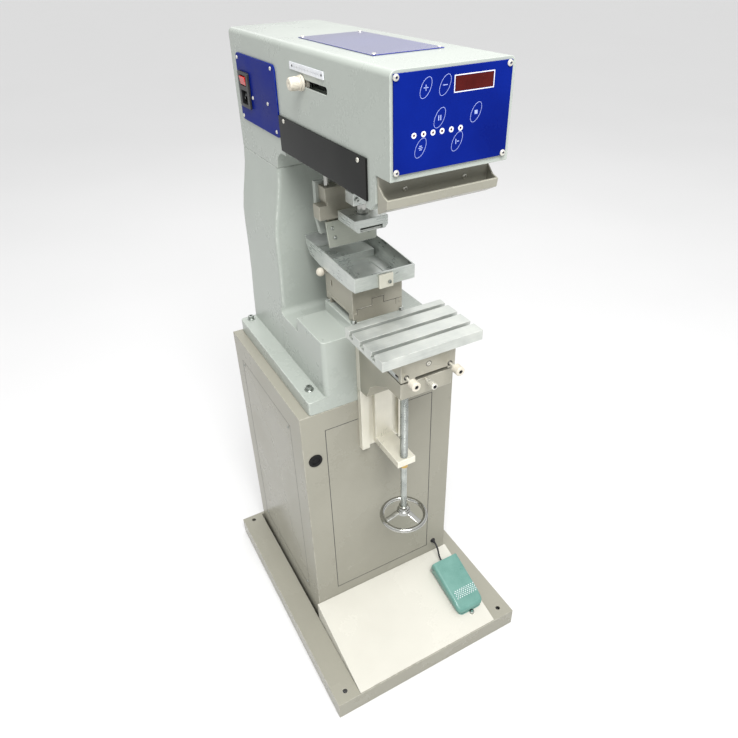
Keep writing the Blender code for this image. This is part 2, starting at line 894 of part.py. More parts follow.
hood_body = prism(hood_outline, "X", (-head_half, head_half))
hood = add("head_hood", round_edges(hood_body, head_edge_radius, 4, along_top_side), grey_enamel, smooth=True)
below_z = throat_front_z - overrun
sheet_y = throat_front_y + head_sheet
floor_y = column_front_y - floor_reach
room_front_y = head_front_y + head_sheet
room_rear_y = column_rear_y - head_sheet
room = [(room_front_y, head_top_z - head_sheet), (room_front_y, front_low_z + head_sheet)]
room += [(step_y + head_sheet, front_low_z + head_sheet), (step_y + head_sheet, step_low_z)]
room += [(sheet_y, throat_front_z), (sheet_y, below_z), (floor_y, below_z)]
room += [(floor_y, throat_rear_z + head_sheet), (column_front_y + head_sheet, throat_rear_z + head_sheet)]
room += [(column_front_y + head_sheet, head_z + head_sheet), (room_rear_y, head_z + head_sheet)]
room += [(room_rear_y, head_top_z - head_sheet)]
hood_room = prism(room, "X", (head_sheet - head_half, head_half - head_sheet))
cut(hood, round_edges(hood_room, head_edge_radius - head_sheet, 3, along_top_side))
left_wall_x = (-head_half - overrun, 2 * head_sheet - head_half)
window_y = (head_front_y + window_front_inset, head_front_y + window_front_inset + window_length)
window_z = (head_z + window_rise, head_z + window_rise + window_height)
cut(hood, block(left_wall_x, window_y, (below_z, window_z[1])))
slot_y = (head_front_y + slot_front_inset, head_front_y + slot_front_inset + slot_length)
slot_z = around(head_top_z - slot_drop, slot_height)
cut(hood, prism(rounded(rectangle(slot_y, slot_z), slot_corner), "X", left_wall_x))

# Control panel on the hood's front, with the display behind its window
control_top_z = head_top_z - control_top_margin
control_z = (control_top_z - control_height, control_top_z)
control_y = (head_front_y - seat_gap - control_thickness, head_front_y - seat_gap)
control_outline = rounded(rectangle(across(control_width), control_z), control_corner)
control = add("control_panel", prism(control_outline, "Y", control_y), blue_panel)
display_top_z = control_top_z - display_drop
display_z = (display_top_z - display_height, display_top_z)
cut(control, block((0, display_width), (control_y[0] - overrun, control_y[1] + overrun), display_z))
glass_y = (control_y[1] - display_thickness, control_y[1])
glass = block(inset((0, display_width), panel_gap), glass_y, inset(display_z, panel_gap))
add("display_window", glass, red_display)

# Cover plate on the hood's top
top_plate_y = (head_front_y + top_plate_setback, head_front_y + top_plate_setback + top_plate_length)
top_plate_z = (head_top_z + seat_gap, head_top_z + seat_gap + top_plate_thickness)
top_outline = rounded(rectangle(across(top_plate_width), top_plate_y), control_corner)
add("top_plate", prism(top_outline, "Z", top_plate_z), blue_panel)

# Mains inlet panel on the hood's left side, with the inlet module let into it
inlet_y_end = column_rear_y - inlet_panel_rear_inset
inlet_panel_y = (inlet_y_end - inlet_panel_length, inlet_y_end)
inlet_panel_z = (head_z + inlet_panel_rise, head_z + inlet_panel_rise + inlet_panel_height)
inlet_panel_x = (-head_half - seat_gap - inlet_panel_thickness, -head_half - seat_gap)
inlet_outline = rounded(rectangle(inlet_panel_y, inlet_panel_z), inlet_panel_corner)
inlet_panel = add("inlet_panel", prism(inlet_outline, "X", inlet_panel_x), blue_panel)
module_y = (inlet_y_end - inlet_rear_offset - inlet_length, inlet_y_end - inlet_rear_offset)
module_z = (inlet_panel_z[0] + inlet_rise, inlet_panel_z[0] + inlet_rise + inlet_height)
body_y = inset(module_y, inlet_rim_overlap)
body_z = inset(module_z, inlet_rim_overlap)
hole_x = (inlet_panel_x[0] - overrun, 2 * head_sheet - head_half)
for sheet in (hood, inlet_panel):
    cut(sheet, block(hole_x, inset(body_y, -panel_gap), inset(body_z, -panel_gap)))
rim_back_x = inlet_panel_x[0] - seat_gap
rim_front_x = rim_back_x - inlet_rim_thickness
rim_outline = rounded(rectangle(module_y, module_z), inlet_corner)
inlet = add("power_inlet", prism(rim_outline, "X", (rim_front_x, rim_back_x)), black_plastic)
join(inlet, block((rim_back_x - weld, rim_front_x + inlet_body_depth), body_y, body_z))
module_mid_y = (module_y[0] + module_y[1]) / 2
socket_z = (module_z[0] + socket_sill, module_z[0] + socket_sill + socket_height)
socket_x = (rim_front_x - overrun, rim_front_x + socket_depth)
cut(inlet, block(socket_x, around(module_mid_y, socket_length), socket_z))
rocker_z = (module_z[0] + rocker_sill, module_z[0] + rocker_sill + rocker_height)
well_x = (rim_front_x - overrun, rim_front_x + rocker_depth)
cut(inlet, block(well_x, around(module_mid_y, rocker_length), rocker_z))
rocker_mid_z = (rocker_z[0] + rocker_z[1]) / 2
rocker_axis_x = rim_front_x + rocker_depth / 2
rocker_pivot = pivot("rocker_axis", (rocker_axis_x, module_mid_y, rocker_mid_z))
rocker_back_x = rim_front_x + rocker_depth - rocker_gap
rocker_out_x = rim_front_x - rocker_proud
rocker_low_z, rocker_high_z = inset(rocker_z, rocker_gap)
rocker_outline = [(rocker_out_x + rocker_proud, rocker_low_z), (rocker_out_x + rocker_dip, rocker_mid_z)]
rocker_outline += [(rocker_out_x, rocker_high_z), (rocker_axis_x, rocker_high_z)]
rocker_outline += [(rocker_back_x, rocker_mid_z), (rocker_axis_x, rocker_low_z)]
rocker_y = inset(around(module_mid_y, rocker_length), panel_gap)
add("rocker_switch", prism(rocker_outline, "Y", rocker_y), red_plastic, rocker_pivot)

# Smoked window over the hood's side opening
pane_y = inset(window_y, -window_overlap_front)
pane_z = inset(window_z, -window_overlap_height)
pane_x = (-head_half - seat_gap - window_thickness, -head_half - seat_gap)
add("side_window", block(pane_x, pane_y, pane_z), smoked_acrylic)

# Stroke scale above the slot
scale_y = (slot_y[0] + scale_front_offset, slot_y[0] + scale_front_offset + scale_length)
scale_z = (slot_z[1] + scale_rise, slot_z[1] + scale_rise + scale_height)
scale_x = (-head_half - seat_gap - scale_thickness, -head_half - seat_gap)
add("scale_plate", block(scale_x, scale_y, scale_z), machined_aluminium)

# Parts tray: a folded trough under the control panel, against the hood's step
tray_half = head_half - tray_half_margin
tray_back_y = step_y - seat_gap
tray_low_z = step_low_z - tray_back_overlap
tray_inner_y = tray_back_y - tray_sheet
toe_y = tray_back_y - tray_front_reach
lip_y = toe_y - tray_lip_lean
trough = [(tray_back_y, tray_low_z), (tray_back_y, tray_low_z + tray_back_rise)]
trough += [(tray_inner_y, tray_low_z + tray_back_rise), (tray_inner_y, tray_low_z + tray_end_rise)]
end_mid_y = (tray_inner_y + lip_y) / 2
end_mid_z = tray_low_z + (tray_end_rise + tray_lip_rise) / 2 - tray_end_sag
trough += [(end_mid_y, end_mid_z), (lip_y, tray_low_z + tray_lip_rise), (toe_y, tray_low_z + tray_toe_rise)]
parts_tray = add("parts_tray", prism(trough, "X", (-tray_half, tray_half)), grey_enamel)
tray_open_z = tray_low_z + tray_back_rise + overrun
tray_room = [(tray_inner_y, tray_open_z), (tray_inner_y, tray_low_z + 2 * tray_sheet)]
tray_room += [(toe_y + tray_sheet, tray_low_z + tray_toe_rise + tray_sheet / 2)]
tray_room += [(lip_y + tray_sheet, tray_low_z + tray_lip_rise)]
tray_room += [(lip_y + tray_sheet, tray_open_z)]
cut(parts_tray, prism(tray_room, "X", (tray_sheet - tray_half, tray_half - tray_sheet)))

# Stroke stop: a flanged stud that slides in the hood's slot, and the knob that clamps it
stroke_y = face_y + stroke_ahead
stroke_z = head_top_z - slot_drop
inner_x = -head_half + head_sheet + slide_gap
outer_x = -head_half - slide_gap
flange_x = outer_x - stroke_flange
stem_x = flange_x - stroke_stem
stroke_axis = pivot("stroke_axis", (outer_x, stroke_y, stroke_z))
stud = [(0, inner_x + stroke_disc), (stroke_disc_radius, inner_x + stroke_disc)]
stud += [(stroke_disc_radius, inner_x)]
stud += [(stroke_neck_radius, inner_x), (stroke_neck_radius, outer_x), (stroke_flange_radius, outer_x)]
stud += [(stroke_flange_radius, flange_x), (stroke_stem_radius, flange_x)]
stud += [(stroke_stem_radius, stem_x), (0, stem_x)]
stud_centre = (stroke_y, stroke_z)
add("stroke_slider", lathe(stud, "X", stud_centre, small_sides), white_plastic, stroke_axis, smooth=True)
knob_x = flange_x - seat_gap
knob_end_x = knob_x - knob_length
stem_bore = stroke_stem_radius + bore_gap
knob = [(0, stem_x - seat_gap), (stem_bore, stem_x - seat_gap), (stem_bore, knob_x)]
knob += [(knob_radius, knob_x), (knob_radius, knob_end_x + knob_rim), (knob_radius - knob_rim, knob_end_x)]
knob += [(0, knob_end_x)]
add("stroke_knob", lathe(knob, "X", stud_centre, small_sides), white_plastic, stroke_axis, smooth=True)

# Carriage and its two rods, with the cylinder that drives it
rod_z = head_z + rod_rise
rod_y = (head_front_y + head_sheet + seat_gap, column_rear_y - head_sheet - seat_gap)
for side, word in ((-1, "left"), (1, "right")):
    centre = (side * rod_half_pitch, rod_z)
    add("guide_rod_" + word, rod("Y", centre, rod_radius, rod_y, small_sides), chrome, smooth=True)
cylinder_y = (rod_y[1] - cylinder_length, rod_y[1])
barrel = rod("Y", (0, rod_z), cylinder_radius, cylinder_y, small_sides)
cylinder = add("travel_cylinder", barrel, ground_steel, smooth=True)
bore_y = (cylinder_y[0] - overrun, cylinder_y[1] - piston_rod_end_margin + bore_gap)
cut(cylinder, rod("Y", (0, rod_z), piston_rod_radius + bore_gap, bore_y, rod_sides))
carriage_y = (face_y + carriage_ahead, face_y + carriage_ahead + carriage_depth)
carriage_z = around(rod_z, carriage_height)
carriage_pivot = pivot("carriage_axis", (0, carriage_y[0], rod_z))
carriage_block = block(across(carriage_width), carriage_y, carriage_z)
carriage = add("carriage", carriage_block, machined_aluminium, carriage_pivot)
for side in (-1, 1):
    centre = (side * rod_half_pitch, rod_z)
    bore_y = inset(carriage_y, -overrun)
    cut(carriage, rod("Y", centre, rod_radius + bore_gap, bore_y, small_sides))
piston_y = (carriage_y[1] - weld, cylinder_y[1] - piston_rod_end_margin)
join(carriage, rod("Y", (0, rod_z), piston_rod_radius, piston_y, rod_sides))

# Printing head: cylinder, ram, ram clamp and the slotted block that takes a pad
pad_y = face_y + pad_axis_behind_face
pad_centre = (0, pad_y)
cylinder_top_z = carriage_z[0] - seat_gap
cylinder_low_z = cylinder_top_z - pad_cylinder_height
pad_body_y = around(pad_y, pad_cylinder_width)
pad_body = block(across(pad_cylinder_width), pad_body_y, (cylinder_low_z, cylinder_top_z))
pad_cylinder = add("pad_cylinder", pad_body, machined_aluminium, carriage_pivot)
ram_top_z = cylinder_top_z - pad_ram_top_margin
ram_bore = pad_ram_radius + bore_gap
ram_bore_z = (cylinder_low_z - overrun, ram_top_z + seat_gap)
cut(pad_cylinder, rod("Z", pad_centre, ram_bore, ram_bore_z, small_sides))
ram_low_z = cylinder_low_z - ram_reach
ram_pivot = pivot("ram_axis", (0, pad_y, ram_low_z), carriage_pivot)
add("pad_ram", rod("Z", pad_centre, pad_ram_radius, (ram_low_z, ram_top_z), small_sides), chrome, ram_pivot,
    smooth=True)
clamp_z = (ram_low_z + clamp_rise, ram_low_z + clamp_rise + clamp_height)
clamp_body = block(across(clamp_width), around(pad_y, clamp_depth), clamp_z)
ram_clamp = add("ram_clamp", clamp_body, machined_aluminium, ram_pivot)
cut(ram_clamp, rod("Z", pad_centre, ram_bore, inset(clamp_z, -overrun), small_sides))
pad_top_z = ram_low_z - seat_gap
pad_low_z = pad_top_z - pad_block_height
pad_half = pad_block_width / 2
slot_half = pad_slot_width / 2
throat_half = pad_slot_throat / 2
slot_low_z = pad_low_z + pad_slot_floor
right_half = [(throat_half, pad_low_z), (pad_half - pad_block_chamfer, pad_low_z)]
right_half += [(pad_half, pad_low_z + pad_block_chamfer), (pad_half, pad_top_z)]
slot_side = [(slot_half, slot_low_z + pad_slot_height), (slot_half, slot_low_z), (throat_half, slot_low_z)]
pad_outline = right_half + [(-x, z) for x, z in reversed(right_half)]
pad_outline += [(-x, z) for x, z in reversed(slot_side)] + slot_side
pad_shape = prism(pad_outline, "Y", around(pad_y, pad_block_depth))
add("pad_block", pad_shape, machined_aluminium, ram_pivot)

# Doctor blade unit, behind the printing head
bracket_y = (carriage_y[1] - bracket_thickness, carriage_y[1])
bracket_top_z = carriage_z[0] - seat_gap
shoulder_z = bracket_top_z - bracket_shoulder_drop
half_bracket = [(bracket_hanger_width / 2, bracket_top_z), (bracket_hanger_width / 2, shoulder_z)]
half_bracket += [(bracket_shoulder_width / 2, shoulder_z)]
half_bracket += [(bracket_waist_width / 2, bracket_top_z - bracket_waist_drop)]
half_bracket += [(bracket_foot_width / 2, bracket_top_z - bracket_length)]
bracket_outline = half_bracket + [(-x, z) for x, z in reversed(half_bracket)]
add("blade_bracket", prism(bracket_outline, "Y", bracket_y), grey_enamel, carriage_pivot)
carrier_y = (bracket_y[0] - slide_gap - carrier_depth, bracket_y[0] - slide_gap)
blade_rod_y = bracket_y[0] - blade_rod_depth
carrier_top_z = carriage_z[0] - carrier_top_drop
carrier_low_z = carrier_top_z - carrier_height
carrier_pivot = pivot("blade_axis", (0, blade_rod_y, carrier_low_z), carriage_pivot)
shoulder_z = carrier_low_z + carrier_shoulder
groove_z = shoulder_z + carrier_groove
half_carrier = [(carrier_top_width / 2, carrier_top_z), (carrier_top_width / 2, groove_z)]
half_carrier += [(carrier_groove_width / 2, groove_z), (carrier_groove_width / 2, shoulder_z)]
half_carrier += [(carrier_width / 2, shoulder_z), (carrier_width / 2, carrier_low_z)]
carrier_outline = half_carrier + [(-x, z) for x, z in reversed(half_carrier)]
carrier = add("blade_carrier", prism(carrier_outline, "Y", carrier_y), machined_aluminium, carrier_pivot)
blade_rod_z = (bracket_top_z - blade_rod_length, bracket_top_z)
for side, word in ((-1, "left"), (1, "right")):
    centre = (side * blade_rod_half_pitch, blade_rod_y)
    bore_z = (shoulder_z, carrier_top_z + overrun)
    cut(carrier, rod("Z", centre, blade_rod_radius + bore_gap, bore_z, rod_sides))
    shaft = rod("Z", centre, blade_rod_radius, blade_rod_z, rod_sides)
    add("blade_rod_" + word, shaft, chrome, carriage_pivot, smooth=True)
blade_top_z = carrier_low_z - blade_drop
blade_low_z = blade_top_z - blade_height
blade_top_y = carrier_y[0] + blade_front_offset


def leaning(low_z, high_z, front, thickness):
    """A leaning sheet seen from the side, parallel to the doctor blade's holder."""
    low_y = blade_top_y - (blade_top_z - low_z) * blade_lean_share + front
    high_y = blade_top_y - (blade_top_z - high_z) * blade_lean_share + front
    return [(low_y, low_z), (low_y + thickness, low_z), (high_y + thickness, high_z), (high_y, high_z)]


strip_front = blade_thickness + seat_gap
tongue_front = strip_front + strip_thickness + seat_gap
tongue_outline = leaning(blade_top_z - tongue_height, carrier_low_z + weld, tongue_front, tongue_thickness)
join(carrier, prism(tongue_outline, "X", across(tongue_width)))
holder = prism(leaning(blade_low_z, blade_top_z, 0, blade_thickness), "X", across(blade_width))
add("blade_plate", holder, ground_steel, carrier_pivot)
strip_low_z = blade_low_z - strip_reach
strip = prism(leaning(strip_low_z, blade_top_z, strip_front, strip_thickness), "X", across(strip_width))
add("doctor_blade", strip, ground_steel, carrier_pivot)

# Fixed slide base on the casting's boss, with a tongue along its middle and a tunnel through its foot
slide_z = boss_top_z + seat_gap
slide_half = slide_width / 2
shoulder_half = slide_half - slide_shoulder_inset
rail_half = tongue_rail_width / 2
slide_top_z = slide_z + slide_rise
tongue_top_z = slide_top_z + tongue_rise
half_slide = [(slide_half, slide_z), (slide_half, slide_top_z - slide_shoulder)]
half_slide += [(shoulder_half, slide_top_z - slide_shoulder), (shoulder_half, slide_top_z)]
half_slide += [(rail_half, slide_top_z), (rail_half, tongue_top_z)]
slide_outline = half_slide + [(-x, z) for x, z in reversed(half_slide)]
slide_base = add("slide_base", prism(slide_outline, "Y", boss_y), machined_aluminium)
tunnel_x = (-slide_half - overrun, slide_half + overrun)
cut(slide_base, block(tunnel_x, inset(boss_y, tunnel_inset), (slide_z - overrun, slide_z + tunnel_height)))

# Moving slide, ink tray, its clamp and the ball knob
tray_slide_top_z = slide_z + slide_top_rise
tray_pivot = pivot("tray_axis", (0, boss_y[0], slide_top_z))
half_saddle = [(slide_half, tray_slide_top_z), (slide_half, slide_top_z - slide_shoulder + seat_gap)]
half_saddle += [(shoulder_half + slide_gap, slide_top_z - slide_shoulder + seat_gap)]
half_saddle += [(shoulder_half + slide_gap, slide_top_z + seat_gap)]
half_saddle += [(rail_half + slide_gap, slide_top_z + seat_gap)]
half_saddle += [(rail_half + slide_gap, tongue_top_z + seat_gap)]
saddle_outline = half_saddle + [(-x, z) for x, z in reversed(half_saddle)]
tray_slide = add("tray_slide", prism(saddle_outline, "Y", boss_y), machined_aluminium, tray_pivot)
notch_x = (-slide_half - overrun, notch_depth - slide_half)
notch_y = around(boss_y[1] - notch_rear_inset, notch_width)
notch_z = (slide_z + notch_rise, slide_z + notch_rise + notch_height)
cut(tray_slide, block(notch_x, notch_y, notch_z))
ink_z = tray_slide_top_z + seat_gap
ink_front_y = boss_y[0] - ink_front_reach
ink_rear_y = boss_y[1] + ink_rear_reach
ink_half = ink_width / 2
ink_outline = [(ink_front_y, ink_z + ink_front_height), (ink_front_y, ink_z + ink_bottom), (boss_y[0], ink_z)]
ink_outline += [(boss_y[1], ink_z), (boss_y[1] + ink_toe_reach, ink_z + ink_toe_height)]
ink_outline += [(boss_y[1] + ink_heel_reach, ink_z + ink_heel_height), (ink_rear_y, ink_z + ink_rear_height)]
ink_tray = add("ink_tray", prism(ink_outline, "X", (-ink_half, ink_half)), machined_aluminium, tray_pivot)
floor_z = ink_z + ink_floor
floor_half = ink_half - ink_floor_inset
rim_half = ink_half - ink_rim
floor_front_y = ink_front_y + 2 * ink_wall
floor_rear_y = ink_rear_y - ink_floor_inset
top_share = (ink_rear_height + overrun - ink_floor) / (ink_front_height - ink_floor)
high_half = floor_half + (rim_half - floor_half) * top_share
high_front_y = floor_front_y - ink_wall * top_share
high_rear_y = ink_rear_y - ink_wall
basin = frustum((-floor_half, floor_half), (floor_front_y, floor_rear_y), floor_z, (-high_half, high_half),
                (high_front_y, high_rear_y), ink_z + ink_rear_height + overrun)
cut(ink_tray, basin)
platform_y = (boss_y[1] - platform_front, boss_y[1] - platform_front + platform_depth)
join(ink_tray, block(across(platform_width), platform_y, (floor_z - weld, floor_z + platform_height)))
for side in (-1, 1):
    ridge_y = (boss_y[0] + ridge_front, boss_y[0] + ridge_front + ridge_length)
    ridge_x = around(side * ridge_half_pitch, ridge_width)
    join(ink_tray, block(ridge_x, ridge_y, (floor_z - weld, floor_z + ridge_height)))
clamp_y = (ink_front_y - seat_gap - clamp_block_depth, ink_front_y - seat_gap)
clamp_face_z = (ink_z + clamp_block_rise, ink_z + clamp_block_rise + clamp_block_height)
add("tray_clamp", block(across(clamp_block_width), clamp_y, clamp_face_z), machined_aluminium, tray_pivot)
ball_y = boss_y[1] - ball_rear_inset
ball_z = tray_slide_top_z - ball_drop
ball_x = -slide_half - ball_reach
ball_pivot = pivot("ball_axis", (ball_x, ball_y, ball_z), tray_pivot)
ball_knob = add("ball_knob", ball("X", (ball_y, ball_z), ball_x, ball_radius, small_sides, 10), white_plastic,
                ball_pivot, smooth=True)
ball_stem_x = (ball_x, ball_stem_depth - slide_half)
join(ball_knob, rod("X", (ball_y, ball_z), ball_stem_radius, ball_stem_x, rod_sides))
stem_x = (-slide_half - overrun, ball_stem_depth - slide_half + seat_gap)
cut(tray_slide, rod("X", (ball_y, ball_z), ball_stem_radius + bore_gap, stem_x, rod_sides))

# Knee guide: a dovetailed plate on the front block, with a spine whose shelf carries the lead screw
guide_y = (face_y - seat_gap - guide_depth, face_y - seat_gap)
guide_top_z = block_top_z - guide_top_drop
guide_z = (guide_top_z - guide_length, guide_top_z)
guide = add("knee_guide", block(across(guide_width), guide_y, guide_z), machined_aluminium)
dovetail_y = guide_y[0] + dovetail_depth
mouth_half = dovetail_mouth / 2
root_half = dovetail_root / 2
flare_share = overrun / dovetail_depth
open_half = mouth_half - (root_half - mouth_half) * flare_share
dovetail = [(-open_half, guide_y[0] - overrun), (open_half, guide_y[0] - overrun)]
dovetail += [(root_half, dovetail_y), (-root_half, dovetail_y)]
cut(guide, prism(dovetail, "Z", (guide_z[0] - overrun, guide_z[1] + overrun)))
spine_z = (guide_z[0] + spine_rise, guide_z[0] + spine_rise + spine_height)
shelf_z = (spine_z[0], spine_z[0] + shelf_thickness)
shelf_y = face_y - shelf_front_reach
spine_outline = [(shelf_y, shelf_z[0]), (dovetail_y + weld, shelf_z[0]), (dovetail_y + weld, spine_z[1])]
spine_outline += [(guide_y[0], spine_z[1]), (guide_y[0], shelf_z[1]), (shelf_y, shelf_z[1])]
join(guide, prism(spine_outline, "X", across(spine_width)))
screw_y = face_y - screw_reach
screw_centre = (0, screw_y)
cut(guide, rod("Z", screw_centre, journal_radius + bore_gap, inset(shelf_z, -overrun), small_sides))

# Lead screw, collar and handwheel
screw_z = shelf_z[1] + seat_gap
screw_top_z = screw_z + screw_length
journal_z = screw_z - journal_length
screw_pivot = pivot("screw_axis", (0, screw_y, screw_z))
screw = [(0, journal_z), (journal_radius, journal_z), (journal_radius, screw_z), (screw_radius, screw_z)]
screw += [(screw_radius, screw_top_z - screw_chamfer), (screw_radius - screw_chamfer, screw_top_z)]
screw += [(0, screw_top_z)]
add("lead_screw", lathe(screw, "Z", screw_centre, small_sides), zinc_steel, screw_pivot, smooth=True)
collar_top_z = shelf_z[0] - seat_gap
collar_bore = journal_radius + bore_gap
collar = [(collar_bore, collar_top_z - collar_height), (collar_radius, collar_top_z - collar_height)]
collar += [(collar_radius, collar_top_z), (collar_bore, collar_top_z)]
add("screw_collar", lathe(collar, "Z", screw_centre, small_sides, True), brass, screw_pivot, smooth=True)
hub_low_z = journal_z - seat_gap - wheel_hub_floor
rim_level_z = hub_low_z + wheel_hub_height - wheel_hub_above_rim
rim_radius = wheel_radius - wheel_tube_radius
rim_profile = arc((rim_radius, rim_level_z), wheel_tube_radius, 0, 315, 7)
rim = lathe(rim_profile, "Z", screw_centre, round_sides, True)
wheel = add("handwheel", rim, chrome, screw_pivot, smooth=True)
spoke_span = (wheel_hub_radius / 2, rim_radius)
for spoke in range(spoke_count):
    turn = math.radians(spoke_start_angle + 360 * spoke / spoke_count)
    arm = rod("X", (0, 0), spoke_radius, spoke_span, rod_sides)
    for corner in arm.verts:
        reach = corner.co.x
        aside = corner.co.y
        corner.co.x = reach * math.cos(turn) - aside * math.sin(turn)
        corner.co.y = reach * math.sin(turn) + aside * math.cos(turn) + screw_y
        corner.co.z += rim_level_z
    join(wheel, arm)
join(wheel, rod("Z", screw_centre, wheel_hub_radius, (hub_low_z, hub_low_z + wheel_hub_height), small_sides))
hub_bore_z = (journal_z - seat_gap, hub_low_z + wheel_hub_height + overrun)
cut(wheel, rod("Z", screw_centre, journal_radius + bore_gap, hub_bore_z, small_sides))

# Knee: an arm with haunches, two dovetail tongues either side of the guide's spine, and a pressed-in nut
knee_top_z = block_top_z - knee_top_drop
knee_rear_y = guide_y[0] - seat_gap
arm_low_z = knee_top_z - arm_thickness
knee_pivot = pivot("knee_axis", (0, screw_y, knee_top_z))
arm_front_y = face_y - arm_reach
knee_outline = [(arm_front_y, knee_top_z), (arm_front_y, arm_low_z)]
knee_outline += [(face_y - reach, knee_top_z - drop) for reach, drop in zip(haunch_reaches, haunch_drops)]
knee_outline += [(knee_rear_y, knee_top_z - knee_height), (knee_rear_y, knee_top_z)]
knee_shape = prism(knee_outline, "X", across(guide_width))
knee = add("knee", knee_shape, machined_aluminium, knee_pivot)
tail_in_y = knee_rear_y - weld
tail_out_y = dovetail_y - seat_gap
flare = (root_half - mouth_half) / dovetail_depth


def tail_half(y):
    return mouth_half + (y - guide_y[0]) * flare - slide_gap


tongue_in_x = spine_width / 2 + slide_gap
for side in (-1, 1):
    tail = [(side * tongue_in_x, tail_in_y), (side * tail_half(tail_in_y), tail_in_y)]
    tail += [(side * tail_half(tail_out_y), tail_out_y), (side * tongue_in_x, tail_out_y)]
    join(knee, prism(tail, "Z", (knee_top_z - knee_height, knee_top_z)))
nut_top_z = knee_top_z - nut_top_drop
nut_bore_z = (knee_top_z - knee_height, nut_top_z + seat_gap)
cut(knee, rod("Z", screw_centre, nut_radius + bore_gap, nut_bore_z, small_sides))
screw_hole_z = (nut_top_z, knee_top_z + overrun)
cut(knee, rod("Z", screw_centre, screw_radius + 2 * bore_gap, screw_hole_z, small_sides))
key_floor_z = knee_top_z - key_depth - seat_gap
key_half = key_width / 2
groove_y = (face_y - key_front_reach - key_travel, face_y - key_front_reach + key_length + key_travel)
cut(knee, block((-key_half - slide_gap, key_half + slide_gap), groove_y, (key_floor_z, knee_top_z + overrun)))
nut_low_z = nut_top_z - nut_length
nut_bore = screw_radius + slide_gap
nut = [(nut_bore, nut_low_z), (nut_radius, nut_low_z), (nut_radius, nut_top_z), (nut_bore, nut_top_z)]
add("knee_nut", lathe(nut, "Z", screw_centre, small_sides, True), brass, knee_pivot, smooth=True)

# Cross slide on the arm: a plate keyed to the arm, with a dovetail along X on top
cross_pivot = pivot("cross_axis", (0, screw_y, knee_top_z), knee_pivot)
cross_y = (face_y - cross_front_reach, face_y - cross_front_reach + cross_length)
cross_z = (knee_top_z + seat_gap, knee_top_z + seat_gap + cross_thickness)
cross = add("cross_slide", block(across(cross_width), cross_y, cross_z), ground_steel, cross_pivot)
key_y = (face_y - key_front_reach, face_y - key_front_reach + key_length)
join(cross, block(across(key_width), key_y, (knee_top_z - key_depth, cross_z[0] + weld)))
foot_y = inset(cross_y, tail_foot_inset)
head_y = inset(cross_y, tail_head_inset)
tail_lean = (tail_foot_inset - tail_head_inset) / tail_height
sunk = weld * tail_lean
tail_top_z = cross_z[1] + tail_height
tail = [(foot_y[0] + sunk, cross_z[1] - weld), (foot_y[1] - sunk, cross_z[1] - weld)]
tail += [(head_y[1], tail_top_z), (head_y[0], tail_top_z)]
join(cross, prism(tail, "X", across(cross_width)))
screw_slot_y = (screw_y - screw_slot_ahead, cross_y[1] + overrun)
screw_slot_z = (cross_z[0] - overrun, tail_top_z + overrun)
cut(cross, block(across(screw_slot_width), screw_slot_y, screw_slot_z))

# Table slide: a block that rides on the cross slide's dovetail, with an open gib space in front
table_pivot = pivot("table_axis", (0, screw_y, tail_top_z), cross_pivot)
saddle_y = (face_y - table_slide_front_reach, face_y - table_slide_front_reach + table_slide_length)
saddle_z = (cross_z[1] + seat_gap, cross_z[1] + seat_gap + table_slide_height)
table_slide_block = block(across(table_slide_width), saddle_y, saddle_z)
table_slide = add("table_slide", table_slide_block, machined_aluminium, table_pivot)
gib_y = saddle_y[0] + gib_front_inset
below_z = saddle_z[0] - overrun
groove_rear_y = foot_y[1] + slide_gap + (below_z - cross_z[1]) * tail_lean
groove = [(gib_y, below_z), (groove_rear_y, below_z), (head_y[1] + slide_gap, tail_top_z + seat_gap)]
groove += [(gib_y, tail_top_z + seat_gap)]
cut(table_slide, prism(groove, "X", inset(across(table_slide_width), -overrun)))
pocket_y = around(screw_y, 2 * pocket_half_depth)
cut(table_slide, block(across(pocket_width), pocket_y, (below_z, saddle_z[0] + pocket_height)))
recess_y = (saddle_y[0] - overrun, saddle_y[0] + recess_depth)
cut(table_slide, block((-recess_left, recess_right), recess_y, (below_z, saddle_z[0] + recess_height)))

table_y = (face_y - table_front_reach, face_y - table_front_reach + table_length)
table_z = (saddle_z[1] + seat_gap, saddle_z[1] + seat_gap + table_thickness)
table_outline = [(table_y[0], table_z[0]), (table_y[0], table_z[1])]
for index in range(slot_count):
    slot_mid_y = table_y[0] + slot_first + index * slot_pitch
    mouth_y = around(slot_mid_y, slot_mouth)
    wide_y = around(slot_mid_y, slot_wide)
    wide_top_z = table_z[1] - slot_mouth_depth
    wide_low_z = wide_top_z - slot_wide_depth
    table_outline += [(mouth_y[0], table_z[1]), (mouth_y[0], wide_top_z), (wide_y[0], wide_top_z)]
    table_outline += [(wide_y[0], wide_low_z), (wide_y[1], wide_low_z), (wide_y[1], wide_top_z)]
    table_outline += [(mouth_y[1], wide_top_z), (mouth_y[1], table_z[1])]
table_outline += [(table_y[1], table_z[1]), (table_y[1], table_z[0])]
add("t_slot_table", prism(table_outline, "X", across(table_width)), machined_aluminium, table_pivot)


def grip_screw(name, centre, radius, length, standoff, stem_radius, stem_depth, front, finish, parent):
    """A round-headed screw along Y whose stem enters a blind bore in the piece behind it."""
    low_y = front - standoff - length
    points = [(0, low_y), (radius - thumb_chamfer, low_y), (radius, low_y + thumb_chamfer)]
    points += [(radius, front - standoff), (stem_radius, front - standoff)]
    points += [(stem_radius, front + stem_depth), (0, front + stem_depth)]
    axis = pivot(name + "_axis", (centre[0], front, centre[1]), parent)
    made = add(name, lathe(points, "Y", centre, small_sides), finish, axis, smooth=True)
    cut(made, hexagon("Y", centre, grip_socket_radius, (low_y - overrun, low_y + grip_socket_depth)))


